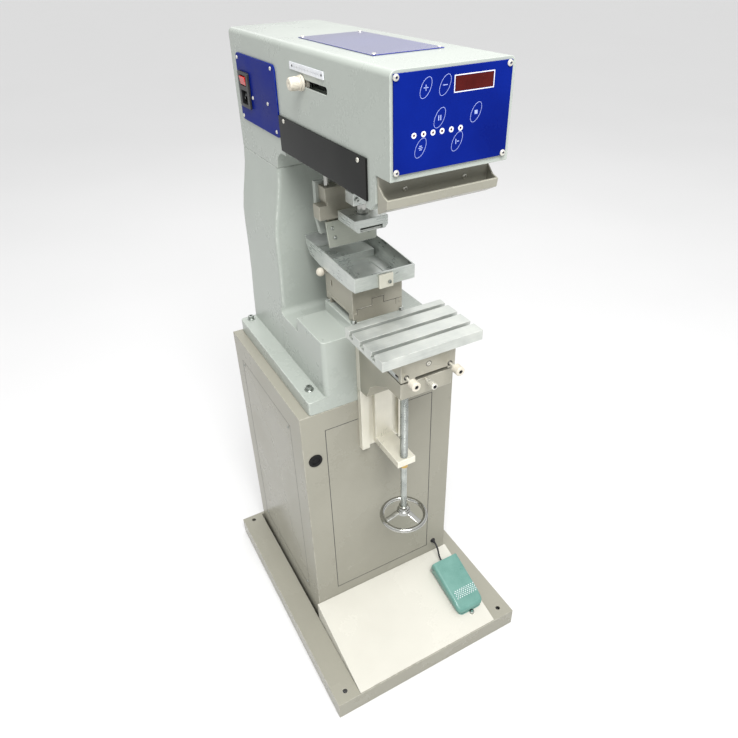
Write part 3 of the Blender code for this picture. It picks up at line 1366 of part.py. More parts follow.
for side, word in ((-1, "left"), (1, "right")):
    centre = (side * thumb_half_pitch, saddle_z[0] + thumb_rise)
    bore_y = (saddle_y[0] - overrun, gib_y + overrun)
    cut(table_slide, rod("Y", centre, thumb_stem_radius + bore_gap, bore_y, rod_sides))
    grip_screw("thumbscrew_" + word, centre, thumb_radius, thumb_length, thumb_standoff, thumb_stem_radius,
               thumb_stem_depth, saddle_y[0], white_plastic, table_pivot)
lock_centre = (0, knee_top_z - lock_drop)
lock_bore_y = (arm_front_y - overrun, arm_front_y + lock_stem_depth + seat_gap)
cut(knee, rod("Y", lock_centre, lock_stem_radius + bore_gap, lock_bore_y, rod_sides))
grip_screw("lock_screw", lock_centre, lock_radius, lock_length, lock_standoff, lock_stem_radius,
           lock_stem_depth, arm_front_y, zinc_steel, knee_pivot)

# Foot pedal, built along the foot plate's slope
pedal_side_offset = plate_half - pedal_side_inset
pedal_y = front_y + pedal_setback
pedal_z = plate_z(pedal_y)


def on_plate(along, above):
    """A point of the pedal from its distance up the plate and its height square to the plate."""
    y = pedal_y + along * math.cos(plate_angle) - above * math.sin(plate_angle)
    return (y, pedal_z + along * math.sin(plate_angle) + above * math.cos(plate_angle))


def nose_corner(first, second):
    """Whether an edge stands up at one of the pedal's two front corners."""
    crease_y = on_plate(treadle_shoulder, treadle_rear_height)[0]
    return upright(first, second) and max(first.y, second.y) < crease_y


treadle_x = around(pedal_side_offset, 2 * treadle_half)
pedal_x = inset(treadle_x, treadle_sheet + pedal_base_side_gap)
inner_corner_radius = pedal_corner_radius - treadle_sheet
base_outline = [on_plate(0, seat_gap), on_plate(pedal_base_length, seat_gap)]
base_outline += [on_plate(pedal_base_length, pedal_base_rear_height)]
base_outline += [on_plate(pedal_crest, pedal_base_rear_height)]
base_outline += [on_plate(pedal_toe, pedal_base_front_height), on_plate(0, pedal_base_front_height)]
base_body = round_edges(prism(base_outline, "X", pedal_x), inner_corner_radius, 3, nose_corner)
pedal_base = add("pedal_base", base_body, teal_enamel)
nub_y, nub_z = on_plate(-nub_reach, 0)
nub_low_z = plate_z(nub_y + nub_radius) + seat_gap
join(pedal_base, rod("Z", (pedal_side_offset, nub_y), nub_radius, (nub_low_z, nub_z + nub_height), rod_sides))
pin_centre = on_plate(pedal_pin_along, pedal_pin_height)
pin_bore = pedal_pin_radius + bore_gap
pin_x = inset(treadle_x, -pedal_pin_proud)
cut(pedal_base, rod("X", pin_centre, pin_bore, inset(pedal_x, -overrun), rod_sides))
add("pedal_pin", rod("X", pin_centre, pedal_pin_radius, pin_x, rod_sides), ground_steel, smooth=True)

treadle_pivot = pivot("treadle_axis", (pedal_side_offset, *pin_centre))
treadle_outline = [on_plate(treadle_rear, treadle_skirt_height), on_plate(treadle_rear, treadle_rear_height)]
treadle_outline += [on_plate(treadle_shoulder, treadle_shoulder_height)]
treadle_outline += [on_plate(treadle_front, treadle_nose_height)]
treadle_outline += [on_plate(treadle_front, treadle_skirt_height)]


def treadle_rim(first, second):
    """Whether an edge runs round the treadle's top, its crease and its open rear left out."""
    low = min(first.z - plate_z(first.y), second.z - plate_z(second.y))
    crosses = abs(first.y - second.y) < seat_gap and first.y > pedal_y + pedal_corner_radius
    return low > treadle_skirt_height + treadle_sheet and not crosses


treadle_body = round_edges(prism(treadle_outline, "X", treadle_x), pedal_corner_radius, 3, nose_corner)
treadle_body = round_edges(treadle_body, treadle_edge_radius, 3, treadle_rim)
treadle = add("pedal_treadle", treadle_body, teal_enamel, treadle_pivot, smooth=True)
inner_low = -overrun
inner_front = treadle_front + treadle_sheet
inner_rear = treadle_rear + overrun
treadle_room = [on_plate(inner_rear, inner_low), on_plate(inner_rear, treadle_rear_height - treadle_sheet)]
treadle_room += [on_plate(treadle_shoulder, treadle_shoulder_height - treadle_sheet)]
treadle_room += [on_plate(inner_front, treadle_nose_height - treadle_sheet), on_plate(inner_front, inner_low)]
treadle_space = prism(treadle_room, "X", inset(treadle_x, treadle_sheet))
cut(treadle, round_edges(treadle_space, inner_corner_radius, 3, nose_corner))
cut(treadle, rod("X", pin_centre, pin_bore, inset(treadle_x, -overrun), rod_sides))

# Pedal cord, from the cabinet's gland down to the pedal's own
gland_foot = on_plate(pedal_base_length - weld, pedal_gland_height)
gland_mouth = on_plate(pedal_base_length + pedal_gland_length, pedal_gland_height)
pedal_gland = rod("Y", (pedal_side_offset, 0), pedal_gland_radius, (0, weld + pedal_gland_length), rod_sides)
for corner in pedal_gland.verts:
    turned_y = corner.co.y * math.cos(plate_angle) - corner.co.z * math.sin(plate_angle)
    turned_z = corner.co.y * math.sin(plate_angle) + corner.co.z * math.cos(plate_angle)
    corner.co.y = turned_y + gland_foot[0]
    corner.co.z = turned_z + gland_foot[1]
join(pedal_base, pedal_gland)

start = Vector((gland_centre[0], gland_front_y - seat_gap, gland_centre[1]))
along_plate = Vector((0, math.cos(plate_angle), math.sin(plate_angle)))
end = Vector((pedal_side_offset, *gland_mouth)) + along_plate * seat_gap
route = [start, start - Vector((0, cord_lead, 0))]
route_origin = Vector((pedal_side_offset, face_y, cabinet_z))
route += [route_origin + Vector(point) for point in cord_route]
route += [end + along_plate * cord_lead, end]


def curve_point(index, share):
    """A point of the smooth curve through the route, between one of its points and the next."""
    before, here, after, beyond = route[index - 1:index + 3]
    leave = (after - before) / 2
    arrive = (beyond - here) / 2
    rest = here * (2 * share ** 3 - 3 * share ** 2 + 1) + after * (3 * share ** 2 - 2 * share ** 3)
    return rest + leave * (share ** 3 - 2 * share ** 2 + share) + arrive * (share ** 3 - share ** 2)


points = [route[0]]
for index in range(1, len(route) - 2):
    points += [route[index], curve_point(index, 1 / 2)]
points += route[-2:]
line = bpy.data.curves.new("pedal_cord", "CURVE")
line.dimensions = "3D"
line.bevel_depth = cord_radius
line.bevel_resolution = 2
line.use_fill_caps = True
spline = line.splines.new("POLY")
spline.points.add(len(points) - 1)
for knot, point in zip(spline.points, points):
    knot.co = (*point, 1)
line.materials.append(coat("pedal_cord", black_rubber))
stand("pedal_cord", line, (0, 0, 0), None)
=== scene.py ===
import json
import math
import bmesh
import bpy
from mathutils import Matrix, Vector

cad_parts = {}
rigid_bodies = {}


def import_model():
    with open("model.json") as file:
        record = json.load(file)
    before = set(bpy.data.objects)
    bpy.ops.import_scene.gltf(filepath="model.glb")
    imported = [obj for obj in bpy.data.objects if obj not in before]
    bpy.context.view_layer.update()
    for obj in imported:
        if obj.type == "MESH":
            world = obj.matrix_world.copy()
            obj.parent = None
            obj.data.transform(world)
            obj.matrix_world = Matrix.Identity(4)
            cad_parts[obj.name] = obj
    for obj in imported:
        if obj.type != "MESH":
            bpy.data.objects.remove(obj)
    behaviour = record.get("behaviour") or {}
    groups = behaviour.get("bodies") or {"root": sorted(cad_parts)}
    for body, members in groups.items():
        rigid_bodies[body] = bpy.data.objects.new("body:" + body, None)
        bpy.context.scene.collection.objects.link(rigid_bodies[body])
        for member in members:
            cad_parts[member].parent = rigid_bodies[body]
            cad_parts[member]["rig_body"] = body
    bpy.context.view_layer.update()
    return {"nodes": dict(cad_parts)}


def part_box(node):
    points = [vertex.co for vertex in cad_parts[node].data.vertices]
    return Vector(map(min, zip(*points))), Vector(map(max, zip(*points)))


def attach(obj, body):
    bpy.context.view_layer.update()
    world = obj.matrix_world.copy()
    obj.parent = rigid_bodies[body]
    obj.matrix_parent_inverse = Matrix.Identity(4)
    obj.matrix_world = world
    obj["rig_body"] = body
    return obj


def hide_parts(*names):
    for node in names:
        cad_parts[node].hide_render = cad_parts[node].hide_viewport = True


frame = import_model()
scene = bpy.context.scene

# The studio
# A white floor that runs far behind the machine under an even white sky, brighter overhead. One soft box hangs in
# front and above, a weaker one behind, as for a catalogue picture. The camera has a 31 mm lens on a square film.
view_right = Vector((0.87630, -0.48105, -0.02645))
view_up = Vector((0.28949, 0.48185, 0.82706))
view_back = Vector((-0.38511, -0.73240, 0.56150))
view_place = (-0.5004, -0.9972, 1.4272)
film_width = 36
picture_width = 738
lens_reach_in_picture = 633.01
lens = bpy.data.cameras.new("catalogue_camera")
lens.sensor_width = film_width
lens.lens = film_width * lens_reach_in_picture / picture_width
lens.clip_end = 200
camera = bpy.data.objects.new("catalogue_camera", lens)
camera.matrix_world = Matrix((view_right, view_up, view_back)).transposed().to_4x4()
camera.matrix_world.translation = view_place
scene.collection.objects.link(camera)
scene.camera = camera
scene.view_settings.view_transform = "Standard"


def shade(red, green, blue):
    """A paint chart's red, green and blue, from 0 to 255, as the linear colour that a shader takes."""
    parts = [((part / 255 + 0.055) / 1.055) ** 2.4 for part in (red, green, blue)]
    return (*parts, 1.0)


def at(x, y, z):
    """A place in the machine, given in millimetres."""
    return Vector((x, y, z)) / 1000


def node(tree, kind, sockets=None, **settings):
    """Adds one shader node, sets it up, and fills or links its sockets."""
    made = tree.nodes.new("ShaderNode" + kind)
    for setting, value in settings.items():
        setattr(made, setting, value)
    for socket, value in (sockets or {}).items():
        if isinstance(value, bpy.types.NodeSocket):
            tree.links.new(value, made.inputs[socket])
        else:
            made.inputs[socket].default_value = value
    return made


coat_roughness = 0.09
chips_per_metre = 110.0
worn_roughness = 0.12
relief_strength = 0.5


def finish(
    name, pale, dark, gloss, *, patch, depth, metal=0.0, grain=(300, 300, 300), scuffed_and_highlit=None, coat=0.0,
    speck=0.5, shine=0.5,
):
    """A finish that drifts between two colours in patches and grain, with its edges in a third colour that is partly
    rubbed wear and partly a painted highlight along the rounded edges.

    Patch and grain are patches and strokes to the metre, and depth is the grain's in millimetres. Gloss is the mean
    roughness. Speck is how much of the colour follows the grain, and shine is how much light the surface throws
    back below its coat.
    """
    made = bpy.data.materials.new(name)
    made.use_nodes = True
    tree = made.node_tree
    shader = tree.nodes["Principled BSDF"]
    shader.inputs["Metallic"].default_value = metal
    shader.inputs["Coat Weight"].default_value = coat
    shader.inputs["Coat Roughness"].default_value = coat_roughness
    shader.inputs["Specular IOR Level"].default_value = shine
    place = node(tree, "TexCoord").outputs["Object"]
    cloud = node(tree, "TexNoise", {"Vector": place, "Scale": patch, "Detail": 4.0}).outputs["Fac"]
    strokes = node(tree, "Mapping", {"Vector": place, "Scale": grain}).outputs["Vector"]
    fine = node(tree, "TexNoise", {"Vector": strokes, "Scale": 1.0, "Detail": 3.0}).outputs["Fac"]
    both = node(tree, "Math", {0: fine, 1: speck, 2: cloud}, operation="MULTIPLY_ADD").outputs[0]
    spread = {"Value": both, "From Min": 0.35 + 0.35 * speck, "From Max": 0.65 + 0.65 * speck}
    drift = node(tree, "MapRange", spread).outputs["Result"]
    tone = node(tree, "Mix", {"Factor": drift, 6: dark, 7: pale}, data_type="RGBA").outputs[2]
    edge = node(tree, "Attribute", attribute_name="scuff_and_highlight_edges").outputs["Fac"]
    chips = node(tree, "TexNoise", {"Vector": place, "Scale": chips_per_metre, "Detail": 5.0}).outputs["Fac"]
    torn = node(tree, "MapRange", {"Value": chips, "From Min": 0.4, "From Max": 0.62}).outputs["Result"]
    scuff_and_highlight_mask = node(tree, "Math", {0: edge, 1: torn}, operation="MULTIPLY").outputs[0]
    # Under the chips the edges take the third colour: rubbed wear, and a painted highlight along each rounded edge.
    tone = node(tree, "Mix", {"Factor": scuff_and_highlight_mask, 6: tone, 7: scuffed_and_highlit or pale}, data_type="RGBA").outputs[2]
    tree.links.new(tone, shader.inputs["Base Color"])
    rough = node(tree, "MapRange", {**spread, "To Min": gloss * 0.75, "To Max": gloss * 1.3}).outputs["Result"]
    rough = node(tree, "Math", {0: scuff_and_highlight_mask, 1: worn_roughness, 2: rough}, operation="MULTIPLY_ADD").outputs[0]
    tree.links.new(rough, shader.inputs["Roughness"])
    relief = node(tree, "Bump", {"Height": fine, "Strength": relief_strength, "Distance": depth / 1000})
    tree.links.new(relief.outputs["Normal"], shader.inputs["Normal"])
    return made


floor_paint = finish("floor_paint", shade(219, 219, 219), shade(217, 217, 217), 0.8, patch=1.0, depth=0.01)
floor_half_width = 45
floor_squares = 24
floor_gap = 0.0004
bm = bmesh.new()
bmesh.ops.create_grid(bm, x_segments=floor_squares, y_segments=floor_squares, size=floor_half_width)
floor_mesh = bpy.data.meshes.new("studio_floor")
bm.to_mesh(floor_mesh)
bm.free()
floor_mesh.materials.append(floor_paint)
floor = bpy.data.objects.new("studio_floor", floor_mesh)
floor.location.z = -floor_gap
scene.collection.objects.link(floor)

sky = bpy.data.worlds.new("studio_sky")
scene.world = sky
sky.use_nodes = True
way = node(sky.node_tree, "TexCoord").outputs["Generated"]
height = node(sky.node_tree, "SeparateXYZ", {0: way}).outputs["Z"]
sky_light = {"Value": height, "From Min": -0.1, "From Max": 1.0, "To Min": 0.45, "To Max": 1.25}
strength = node(sky.node_tree, "MapRange", sky_light).outputs["Result"]
sky.node_tree.nodes["Background"].inputs["Color"].default_value = (1.0, 1.0, 1.0, 1.0)
sky.node_tree.links.new(strength, sky.node_tree.nodes["Background"].inputs["Strength"])


def lamp(name, place, aim, power, wide, high):
    """A soft box that hangs at one place and faces another."""
    light = bpy.data.lights.new(name, "AREA")
    light.shape = "RECTANGLE"
    light.size = wide
    light.size_y = high
    light.energy = power
    made = bpy.data.objects.new(name, light)
    made.location = place
    made.rotation_euler = (Vector(place) - Vector(aim)).to_track_quat("Z", "Y").to_euler()
    scene.collection.objects.link(made)


lamp("front_box", (-0.5, -1.7, 3.1), (0, -0.1, 0.5), 108, 1.4, 1.4)
lamp("rear_box", (1.5, 2.9, 2.7), (0, 0, 0.8), 14, 3.2, 1.8)

# The pedal's cord
# A short limp two-core rubber lead. It comes out of the gland in the cabinet's front, bends down in front of it and
# goes into the pedal's own gland. The strain relief is a ribbed rubber sleeve, moulded with the gland's flange.
cord_black_and_joint_shadow = finish(
    "black_rubber", shade(46, 46, 47), shade(24, 24, 26), 0.62, patch=60, grain=(700, 700, 700), depth=0.05,
)
cord_radius = 2.2
cord_steps = 4
plate_slope = Vector((0, 0.97041, 0.24147))
cord_start = at(145.4, -96.3, 139.0)
cord_end = at(145, -134.98, 105.51)
cord_route = [cord_start, cord_start + at(0, -5, 0)]
cord_route += [at(145.3, -108.5, 136.5), at(145.2, -115, 130.5), at(145.1, -119.5, 121.5), at(145, -124, 112.5)]
cord_route += [cord_end + plate_slope * 0.005, cord_end]


def along_cord(index, share):
    """A point of the smooth line through the cord's route, between one of its points and the next."""
    before, here, after, beyond = cord_route[index - 1:index + 3]
    leave, arrive = (after - before) / 2, (beyond - here) / 2
    rest = here * (2 * share ** 3 - 3 * share ** 2 + 1) + after * (3 * share ** 2 - 2 * share ** 3)
    return rest + leave * (share ** 3 - 2 * share ** 2 + share) + arrive * (share ** 3 - share ** 2)


cord_line = [cord_route[0]]
for index in range(1, len(cord_route) - 2):
    cord_line += [along_cord(index, step / cord_steps) for step in range(cord_steps)]
cord_line += cord_route[-2:]
cord_curve = bpy.data.curves.new("pedal_lead", "CURVE")
cord_curve.dimensions = "3D"
cord_curve.bevel_depth = cord_radius / 1000
cord_curve.bevel_resolution = 6
cord_curve.use_fill_caps = True
run = cord_curve.splines.new("POLY")
run.points.add(len(cord_line) - 1)
for knot, spot in zip(run.points, cord_line):
    knot.co = (*spot, 1)
cord_curve.materials.append(cord_black_and_joint_shadow)
pedal_lead = bpy.data.objects.new("pedal_lead", cord_curve)
scene.collection.objects.link(pedal_lead)
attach(pedal_lead, "frame")
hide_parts("pedal_cord")


def skin(bm, rows):
    """Skins rows of points into a tube and closes both its ends."""
    for low, high in zip(rows, rows[1:]):
        for step in range(len(low)):
            bm.faces.new((low[step - 1], low[step], high[step], high[step - 1]))
    bm.faces.new(reversed(rows[0]))
    bm.faces.new(rows[-1])


def turned(bm, centre, out, rings, sides):
    """Skins rings round an axis, each its distance out and its radius in millimetres.

    A third value makes a ring six-sided, with the word "hex", or cuts a knurl of that depth into every second point.
    """
    turn = out.to_track_quat("Z", "Y")
    rows = []
    for ring in rings:
        along, radius, form = (*ring, "round")[:3]
        row = []
        for step in range(sides):
            angle = math.tau * step / sides
            reach = radius
            if form == "hex":
                reach = radius * math.cos(math.pi / 6) / math.cos(angle % (math.pi / 3) - math.pi / 6)
            elif form != "round":
                reach = radius - form * (step % 2)
            spot = Vector((reach * math.cos(angle), reach * math.sin(angle), along)) / 1000
            row.append(bm.verts.new(centre + turn @ spot))
        rows.append(row)
    skin(bm, rows)


def piece(name, bm, paint, body, slot, *cad_nodes, sharp=35):
    """Makes a finished piece of the mesh, hangs it on its body, and lets it stand for those solids."""
    bmesh.ops.recalc_face_normals(bm, faces=bm.faces)
    mesh = bpy.data.meshes.new(name)
    bm.to_mesh(mesh)
    bm.free()
    mesh.materials.append(paint)
    mesh.shade_smooth()
    mesh.set_sharp_from_angle(angle=math.radians(sharp))
    made = bpy.data.objects.new(name, mesh)
    scene.collection.objects.link(made)
    evened = made.modifiers.new("evened_shading", "WEIGHTED_NORMAL")
    evened.keep_sharp = True
    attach(made, body)
    if cad_nodes:
        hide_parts(*cad_nodes)


def turned_piece(name, centre, out, rings, sides, paint, body, slot, *cad_nodes, sharp=35):
    """A finished piece that is all rings round one axis."""
    bm = bmesh.new()
    turned(bm, centre, out, rings, sides)
    piece(name, bm, paint, body, slot, *cad_nodes, sharp=sharp)


front, left, right, up, back = (Vector(way) for way in ((0, -1, 0), (-1, 0, 0), (1, 0, 0), (0, 0, 1), (0, 1, 0)))
cabinet_face_y = -91
rib_pitch = 2
sleeve = [(0, 4), (0, 6.5), (1.9, 6.5), (2.5, 5.9), (2.5, 4.6)]
for rib in range(3):
    sleeve += [(3.2 + rib_pitch * rib, 4.5 - 0.55 * rib), (4.2 + rib_pitch * rib, 4.3 - 0.55 * rib)]
    sleeve += [(4.4 + rib_pitch * rib, 3.6 - 0.45 * rib), (5.0 + rib_pitch * rib, 3.5 - 0.45 * rib)]
sleeve += [(9.4, 2.5)]
sleeve_foot = at(145.4, cabinet_face_y, 139)
turned_piece("cord_sleeve", sleeve_foot, front, sleeve, 32, cord_black_and_joint_shadow, "frame", "black_rubber", "cord_gland")

# Floor frame
# Two channel rails with a pan welded between them, all of folded sheet, stove enamelled silver-grey. The rails' tops
# have holes for floor anchors at their ends.
silver_grey = finish(
    "grey_enamel", shade(150, 148, 136), shade(144, 142, 130), 0.28,
    patch=5, grain=(260, 260, 260), depth=0.03, scuffed_and_highlit=shade(170, 168, 156), coat=0.05, speck=0.1, shine=0.15,
)
corner_angle = 35
room_for_rounding = 2.2
weld_reach = 0.00005
flat_angle = 0.3


def break_edges(bm, edge, turns):
    """Rounds the corners that have room for it, and marks the middle of each rounding for wear and a painted
    highlight.
    """
    scuff_and_highlight_edges = bm.verts.layers.float.new("scuff_and_highlight_edges")
    chosen = []
    for line in bm.edges:
        if len(line.link_faces) != 2 or line.calc_face_angle(0) < math.radians(corner_angle):
            continue
        if not line.is_convex:
            continue
        near = min(other.calc_length() for corner in line.verts for other in corner.link_edges)
        if near > room_for_rounding * edge:
            chosen.append(line)
    rounded = bmesh.ops.bevel(bm, geom=chosen, offset=edge, segments=turns, profile=0.5, affect="EDGES")
    new_faces = set(rounded["faces"])
    for corner in rounded["verts"]:
        if all(side in new_faces for side in corner.link_faces):
            corner[scuff_and_highlight_edges] = 1.0


def dressed(cad_node, paint, edge, turns=2, sharp=35):
    """The solid's own shape with its edges rounded by so many millimetres, in its finish."""
    solid = frame["nodes"][cad_node]
    bm = bmesh.new()
    bm.from_mesh(solid.data)
    bmesh.ops.remove_doubles(bm, verts=bm.verts, dist=weld_reach)
    bmesh.ops.dissolve_limit(bm, angle_limit=math.radians(flat_angle), verts=bm.verts, edges=bm.edges)
    break_edges(bm, edge / 1000, turns)
    slot = solid.data.materials[0].name
    piece(f"{cad_node}_finished", bm, paint, solid["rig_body"], slot, cad_node, sharp=sharp)


dressed("base_frame", silver_grey, 1.2, 3)

# Foot plate
# A folded sheet with a deep skirt, enamelled in a paler grey that is lightened further as painted sheen for its lit
# top. It slopes up from the floor frame's front to the cabinet and is welded to both.
# Paler than the frame's enamel, and lightened again as painted sheen for the light on the plate's top.
sheen_lit_pale_paint = finish(
    "pale_enamel", shade(198, 196, 186), shade(192, 190, 180), 0.24,
    patch=5, grain=(260, 260, 260), depth=0.03, scuffed_and_highlit=shade(208, 205, 194), coat=0.3, speck=0.1, shine=0.4,
)
dressed("foot_plate", sheen_lit_pale_paint, 1.4, 3)

# Cabinet
# A welded sheet box on the floor frame in the same silver-grey enamel, with a let-in front panel and two let-in side
# panels held by button-head screws. Thin black strips in the panels' joints are painted shadow in the gaps, and a
# black bush fills the cable hole in the front.
for cad_node in ("cabinet_body", "front_panel", "side_panel_left", "side_panel_right"):
    dressed(cad_node, silver_grey, 0.9 if "panel" in cad_node else 1.8, 3)
# Thin black strips round the panels, sunk a little into the joints: painted shadow in the gaps, in the black rubber.
joint_shadow_out = 1
joint_shadow_in = 0.4
joint_shadow_depth = 1
joint_shadow_rise = 0.05
bm = bmesh.new()
for cad_node in ("front_panel", "side_panel_left", "side_panel_right"):
    low, high = (Vector(corner) * 1000 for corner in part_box(cad_node))
    face = {"front_panel": cabinet_face_y, "side_panel_left": low.x, "side_panel_right": high.x}[cad_node]
    outward = 1 if cad_node == "side_panel_right" else -1
    depths = (face + joint_shadow_rise * outward, face - joint_shadow_depth * outward)
    near, far = (low.x, high.x) if cad_node == "front_panel" else (low.y, high.y)
    for first, last in (
        ((near - joint_shadow_out, low.z - joint_shadow_out), (near + joint_shadow_in, high.z + joint_shadow_out)),
        ((far - joint_shadow_in, low.z - joint_shadow_out), (far + joint_shadow_out, high.z + joint_shadow_out)),
        ((near - joint_shadow_out, high.z - joint_shadow_in), (far + joint_shadow_out, high.z + joint_shadow_out)),
        ((near - joint_shadow_out, low.z - joint_shadow_out), (far + joint_shadow_out, low.z + joint_shadow_in)),
    ):
        places, heights = (first[0], last[0]), (first[1], last[1])
        corners = [(place, depth, z) for place in places for depth in depths for z in heights]
        if cad_node != "front_panel":
            corners = [(depth, place, z) for place, depth, z in corners]
        bmesh.ops.convex_hull(bm, input=[bm.verts.new(at(*corner)) for corner in corners])
piece("panel_gap_shadow", bm, cord_black_and_joint_shadow, "frame", "black_rubber")
bush_black = finish("bush_black", shade(24, 24, 25), shade(14, 14, 15), 0.6, patch=60, depth=0.03, shine=0.2)
bush = [(0, 12), (0, 15), (1.4, 15), (2.1, 14.6), (2.5, 13.6), (2.5, 10), (2.2, 9.3), (0.2, 8.6), (-0.5, 7.6)]
bush += [(-0.5, 3), (0.4, 2.4), (0.6, 1.2)]
bush_place = at(-153.5, cabinet_face_y, 552)
turned_piece(
    "cable_bush_finished", bush_place, front, bush, 48, bush_black, "frame", "black_plastic", "cable_bush",
)


def button_screw(bm, centre, out, radius):
    """A button-head screw with a six-sided socket."""
    rise = 0.55 * radius
    rings = [(-0.3, 0.9 * radius), (0.15 * rise, radius), (0.6 * rise, 0.9 * radius)]
    rings += [(0.9 * rise, 0.7 * radius), (rise, 0.5 * radius)]
    rings += [(rise, 0.45 * radius, "hex"), (-0.1 * radius, 0.43 * radius, "hex")]
    turned(bm, centre, out, rings, 24)


zinc = finish(
    "zinc_steel", shade(188, 192, 187), shade(150, 155, 151), 0.3, metal=1.0,
    patch=45, grain=(500, 500, 500), depth=0.02, scuffed_and_highlit=shade(222, 224, 226),
)
panel_screw_radius = 3.2
bm = bmesh.new()
for y in (-22, 244):
    for z in (108, 602):
        for x, out in ((-179, left), (179, right)):
            button_screw(bm, at(x, y, z), out, panel_screw_radius)
piece("side_panel_screws", bm, zinc, "frame", "zinc_steel")

# Cast machine frame
# One iron casting: a flange, a front block with a boss on it, and a waisted column that carries the hood. It is
# filled, rubbed down and enamelled, and four socket-head bolts with washers hold its flange on the cabinet.
# Tinted cooler and greener than the cabinet's enamel as painted light: the cooler light on the upper machine.
cool_lit_casting_paint = finish(
    "casting_paint_cool_light", shade(165, 171, 164), shade(158, 164, 157), 0.27,
    patch=6, grain=(180, 180, 180), depth=0.02, scuffed_and_highlit=shade(182, 187, 180), coat=0.1, speck=0.15, shine=0.25,
)
dressed("machine_frame", cool_lit_casting_paint, 1.6, 3)
washer_thickness = 1.8
knurl_depth = 0.28


def cap_screw(bm, centre, out, radius, height, washer=0.0):
    """A socket-head screw with a knurled rim, on a washer of that radius if it has one."""
    lift = washer_thickness if washer else 0.0
    if washer:
        plate = [(0, washer - 0.2), (0.2, washer), (lift - 0.3, washer), (lift, washer - 0.3), (lift, 2)]
        turned(bm, centre, out, plate, 36)
    rings = [(lift - 0.2, radius - 0.4), (lift, radius, 0.0), (lift + 0.3, radius, knurl_depth)]
    rings += [(lift + height - 1.1, radius, knurl_depth), (lift + height - 0.8, radius, 0.0)]
    rings += [(lift + height - 0.2, radius - 0.35), (lift + height, radius - 0.9)]
    rings += [(lift + height, 0.5 * radius, "hex"), (lift + 0.45 * height, 0.47 * radius, "hex")]
    turned(bm, centre, out, rings, 60)


for end, y in (("front", -49), ("rear", 281)):
    for side, x in (("left", -136), ("right", 136)):
        bm = bmesh.new()
        cap_screw(bm, at(x, y, 698), up, 6.5, 6.5, washer=9.5)
        cad_node = f"flange_bolt_{end}_{side}"
        piece(f"{cad_node}_finished", bm, zinc, "frame", "zinc_steel", cad_node)

# Hood
# Folded and welded sheet, open below, in the casting's enamel, with rounded long edges. It hangs over the ink tray
# and holds the rods, the travel cylinder and the carriage. A folded parts tray is screwed under its front, and
# the window and the inlet panel are screwed on its left side.
dressed("head_hood", cool_lit_casting_paint, 0.9)
nickel = finish("nickel_screws", shade(216, 214, 204), shade(196, 194, 184), 0.3, metal=0.5, patch=60, depth=0.01)
bm = bmesh.new()
for y, z in ((47, 1179), (-218, 1178)):
    button_screw(bm, at(-97.8, y, z), left, 3.6)
for y, z in ((254, 1254), (86, 1255), (254, 1152), (85, 1154), (190, 1193), (115, 1195)):
    button_screw(bm, at(-97.3, y, z), left, panel_screw_radius)
for x in (-49.8, 49.8):
    button_screw(bm, at(x, -264, 1142.6), front, 3.8)
piece("hood_screws", bm, nickel, "frame", "zinc_steel")
dressed("parts_tray", silver_grey, 0.7)

# Control panel
# A printed blue film on a thin aluminium plate, screwed on the hood's front at four corners. Six tilted oval keys
# are printed on it in pale line, with six small lamps in bezels and a red window over the cycle counter.
blue_film = finish(
    "blue_panel", shade(5, 29, 120), shade(3, 22, 104), 0.34,
    patch=9, grain=(500, 500, 500), depth=0.02, scuffed_and_highlit=shade(60, 80, 165), speck=0.2, shine=0.05,
)
white_print_and_highlight = finish("white_print_and_highlight", shade(222, 224, 226), shade(206, 209, 214), 0.4, patch=80, depth=0.01)
pale_ink = finish("pale_ink", shade(158, 170, 214), shade(136, 150, 202), 0.4, patch=80, depth=0.01)


def bar(bm, low, high, edge):
    """A bar from one corner to the other, in millimetres, its edges rounded."""
    low, high = Vector(low) / 1000, Vector(high) / 1000
    shape = Matrix.Translation((low + high) / 2) @ Matrix.Diagonal((*(high - low), 1))
    corners = bmesh.ops.create_cube(bm, size=1, matrix=shape)["verts"]
    lines = list(dict.fromkeys(line for corner in corners for line in corner.link_edges))
    bmesh.ops.bevel(bm, geom=lines, offset=edge / 1000, segments=2, profile=0.5, affect="EDGES")


film_left_x, film_right_x = -90.5, 87.5
low, high = (Vector(corner) * 1000 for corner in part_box("control_panel"))
bm = bmesh.new()
bar(bm, (film_left_x, low.y, low.z), (film_right_x, high.y, high.z), 0.5)
piece("control_panel_film", bm, blue_film, "frame", "blue_panel", "control_panel")


def hoop(bm, centre, out, wide, high, thick, tilt=0.0, flat=1.0, steps=48, across=8):
    """A closed ring of round section, square to one way, as wide and high from its middle as given."""
    turn = out.to_track_quat("Z", "Y").to_matrix() @ Matrix.Rotation(tilt, 3, "Z")
    rows = []
    for step in range(steps):
        angle = math.tau * step / steps
        middle = Vector((wide * math.cos(angle), high * math.sin(angle), 0))
        outward = Vector((math.cos(angle) / wide, math.sin(angle) / high, 0)).normalized()
        row = []
        for part in range(across):
            side = math.tau * part / across
            lift = Vector((0, 0, flat * thick * math.sin(side)))
            spot = middle + outward * thick * math.cos(side) + lift
            row.append(bm.verts.new(centre + turn @ spot / 1000))
        rows.append(row)
    for step in range(steps):
        for part in range(across):
            bm.faces.new((rows[step - 1][part - 1], rows[step][part - 1], rows[step][part], rows[step - 1][part]))


